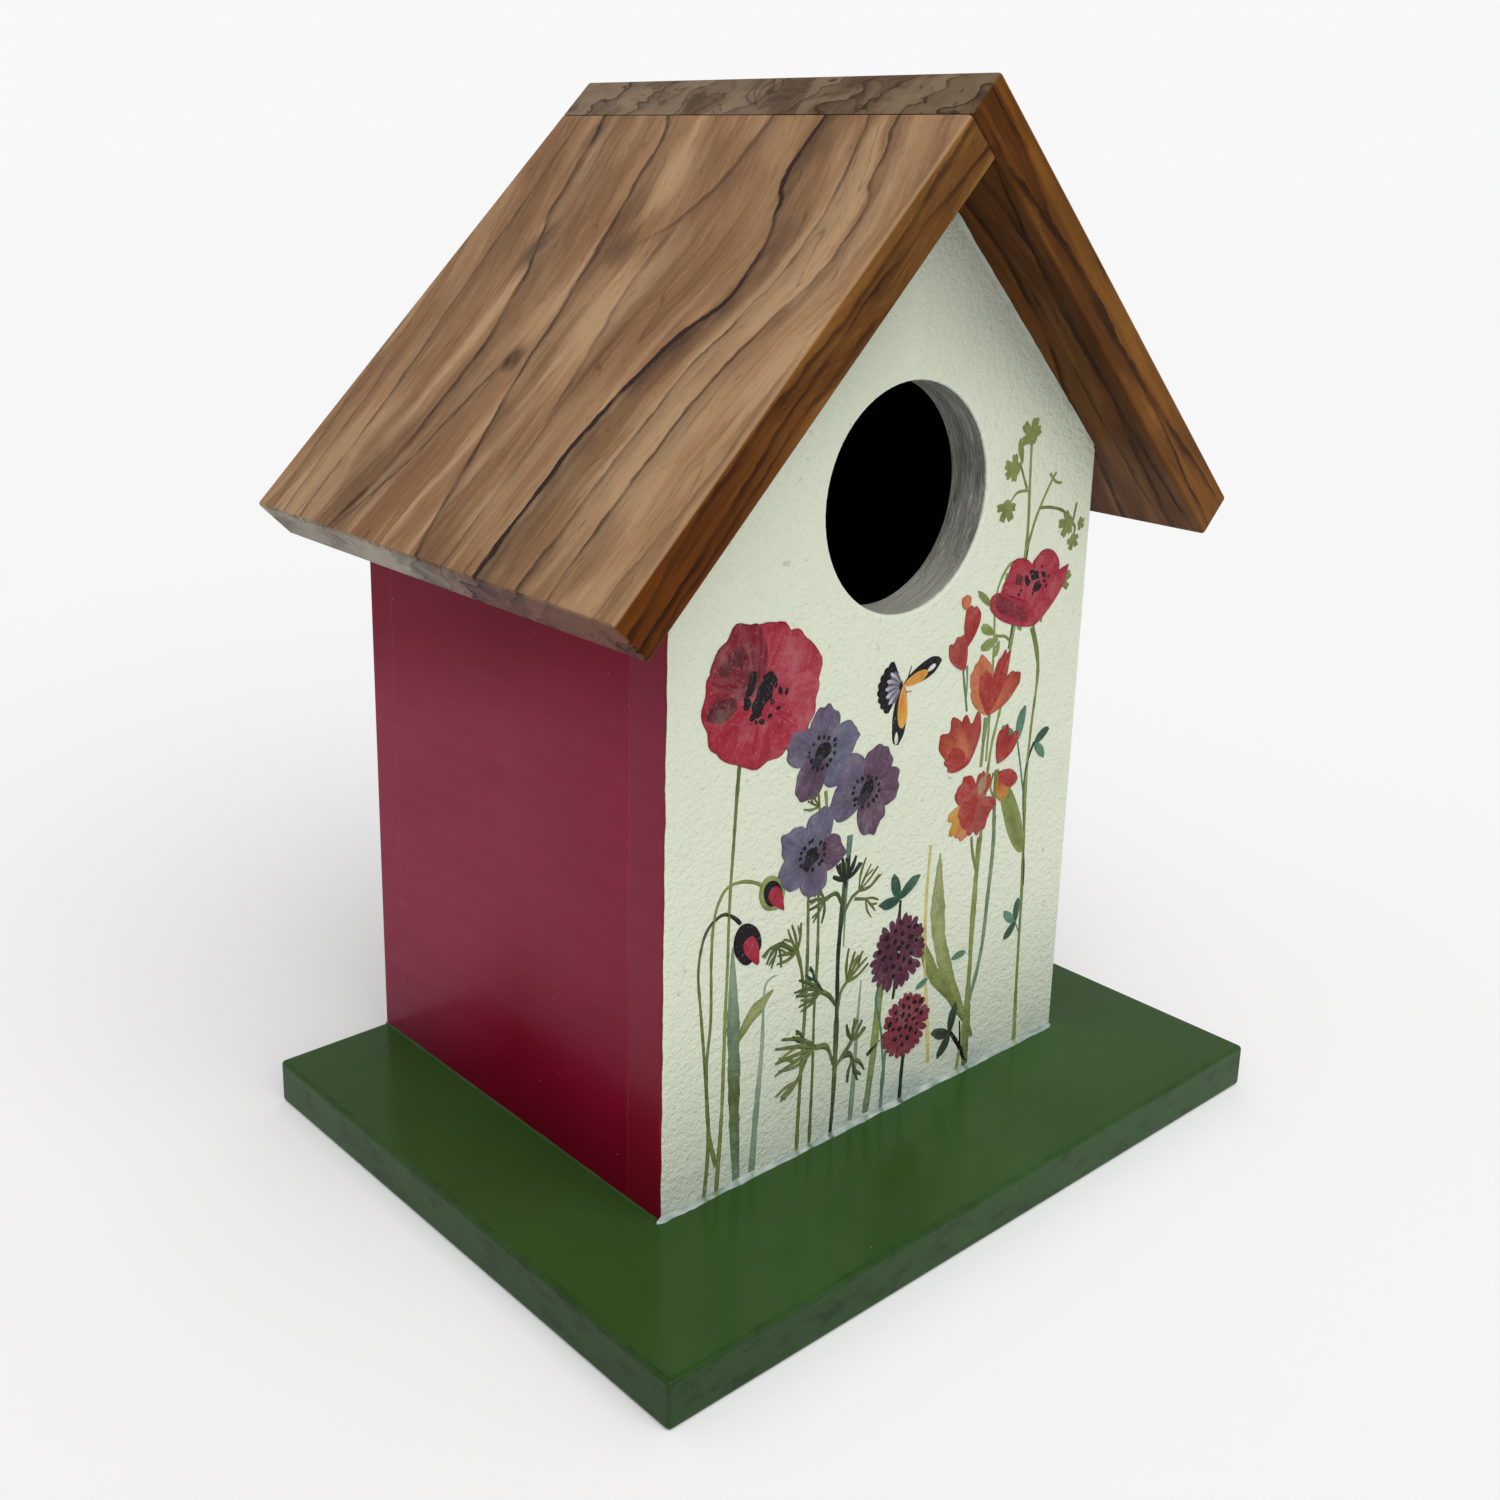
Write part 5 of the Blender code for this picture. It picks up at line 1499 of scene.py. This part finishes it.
def fill_seams():
    """Paint bridging the joints at the house's corners, a hair proud of the walls, lighter as a painted
    highlight.
    """
    paint = crimson("crimson_seam_highlight_paint", SEAM_HIGHLIGHT_CRIMSON, SEAM_HIGHLIGHT_DEEP)
    joints = (("front", (panel_high.y + left_wall_low.y) / 2),
              ("back", (left_wall_high.y + back_low.y) / 2))
    for side, sign in (("left", -1), ("right", 1)):
        for end, y in joints:
            points, rows = [], []
            low, high = FLOOR_Z + 0.4 * MM, SHOULDER_Z - 0.6 * MM
            count = round((high - low) / (2 * MM))
            for k in range(count + 1):
                z = low + (high - low) * k / count
                sway = 0.10 * MM * ripple(z * 160, y * 80, sign)
                half = 0.24 * MM * (1 + 0.3 * ripple(z * 300, y * 50, sign + 4))
                proud = 0.05 * MM * (1 + 0.8 * ripple(z * 220, y * 70, sign + 8))
                section = ((-half, -0.25 * MM), (-half, 0.0), (-half * 0.4, proud), (half * 0.4, proud),
                           (half, 0.0), (half, -0.25 * MM))
                rows.append(range(len(points), len(points) + len(section)))
                points += [(sign * (HALF_WIDTH + lift), y + sway + across, z) for across, lift in section]
            make_piece("paint_seam_" + side + "_" + end, points, sweep(rows), paint, 50)


# ------------------------------------------------------------ stage and camera
FLOOR_REACH = 12.0                          # metres to each side
FLOOR_PALE = (0.90, 0.90, 0.90)
FLOOR_GLOW = 0.09
FILL = 0.48                                 # strength of the light from all round
BACKDROP = 0.94                             # and of what the camera sees behind
KEY = 1.9
KEY_SPREAD = 70                             # degrees
KEY_FROM = (-0.25, -0.75, 0.90)
WHITE = (1.0, 1.0, 1.0, 1.0)
SENSOR = 36.0
LENS = 40.67
LENS_SHIFT = (0.0249, -0.0806)
NEAREST = 0.01                              # metres from the camera
CAMERA_PLACE = (-0.2900, -0.3028, 0.2496)
CAMERA_TURN = (-41.73, 15.78, 1.12)         # azimuth, elevation and roll in degrees


def build_stage():
    mesh = bpy.data.meshes.new("floor")
    corners = [(x * FLOOR_REACH, y * FLOOR_REACH, 0) for x, y in ((-1, -1), (1, -1), (1, 1), (-1, 1))]
    mesh.from_pydata(corners, [], [(0, 1, 2, 3)])
    t = Tree("pale_floor")
    t.shader.inputs["Emission Color"].default_value = WHITE
    mesh.materials.append(t.surface(FLOOR_PALE, 0.9, Specular_IOR_Level=0.0,
                                    Emission_Strength=FLOOR_GLOW))
    floor = link("floor", mesh)


def background(node, strength):
    node.inputs["Color"].default_value = WHITE
    node.inputs["Strength"].default_value = strength
    return node.outputs[0]


def build_lights():
    """A pale studio: a bright backdrop, dimmer fill from all round, and a broad soft key from above."""
    world = bpy.data.worlds.new("studio")
    bpy.context.scene.world = world
    world.use_nodes = True
    nodes, links = world.node_tree.nodes, world.node_tree.links
    either = nodes.new("ShaderNodeMixShader")
    links.new(nodes.new("ShaderNodeLightPath").outputs["Is Camera Ray"], either.inputs[0])
    links.new(background(nodes["Background"], FILL), either.inputs[1])
    links.new(background(nodes.new("ShaderNodeBackground"), BACKDROP), either.inputs[2])
    links.new(either.outputs[0], nodes["World Output"].inputs["Surface"])

    sun = bpy.data.lights.new("soft_key", "SUN")
    sun.energy = KEY
    sun.angle = math.radians(KEY_SPREAD)
    link("soft_key", sun).rotation_euler = Vector(KEY_FROM).to_track_quat("Z", "Y").to_euler()


def build_camera():
    """A close three-quarter view from the front left, slightly above the eaves."""
    data = bpy.data.cameras.new("camera")
    data.sensor_width = SENSOR
    data.lens = LENS
    data.shift_x, data.shift_y = LENS_SHIFT
    data.clip_start = NEAREST
    azimuth, elevation, roll = (math.radians(angle) for angle in CAMERA_TURN)
    back = Vector((math.sin(azimuth) * math.cos(elevation),
                   -math.cos(azimuth) * math.cos(elevation), math.sin(elevation)))
    right = Vector((0, 0, 1)).cross(back).normalized()
    up = back.cross(right)
    leaned_right = math.cos(roll) * right + math.sin(roll) * up
    leaned_up = math.cos(roll) * up - math.sin(roll) * right
    turn = Matrix((leaned_right, leaned_up, back)).transposed()
    camera = link("camera", data)
    camera.matrix_world = Matrix.Translation(CAMERA_PLACE) @ turn.to_4x4()
    bpy.context.scene.camera = camera


dress_frame()
paint_panel()
run_beads()
fill_seams()
build_stage()
build_lights()
build_camera()
bpy.context.scene.view_settings.view_transform = "Standard"
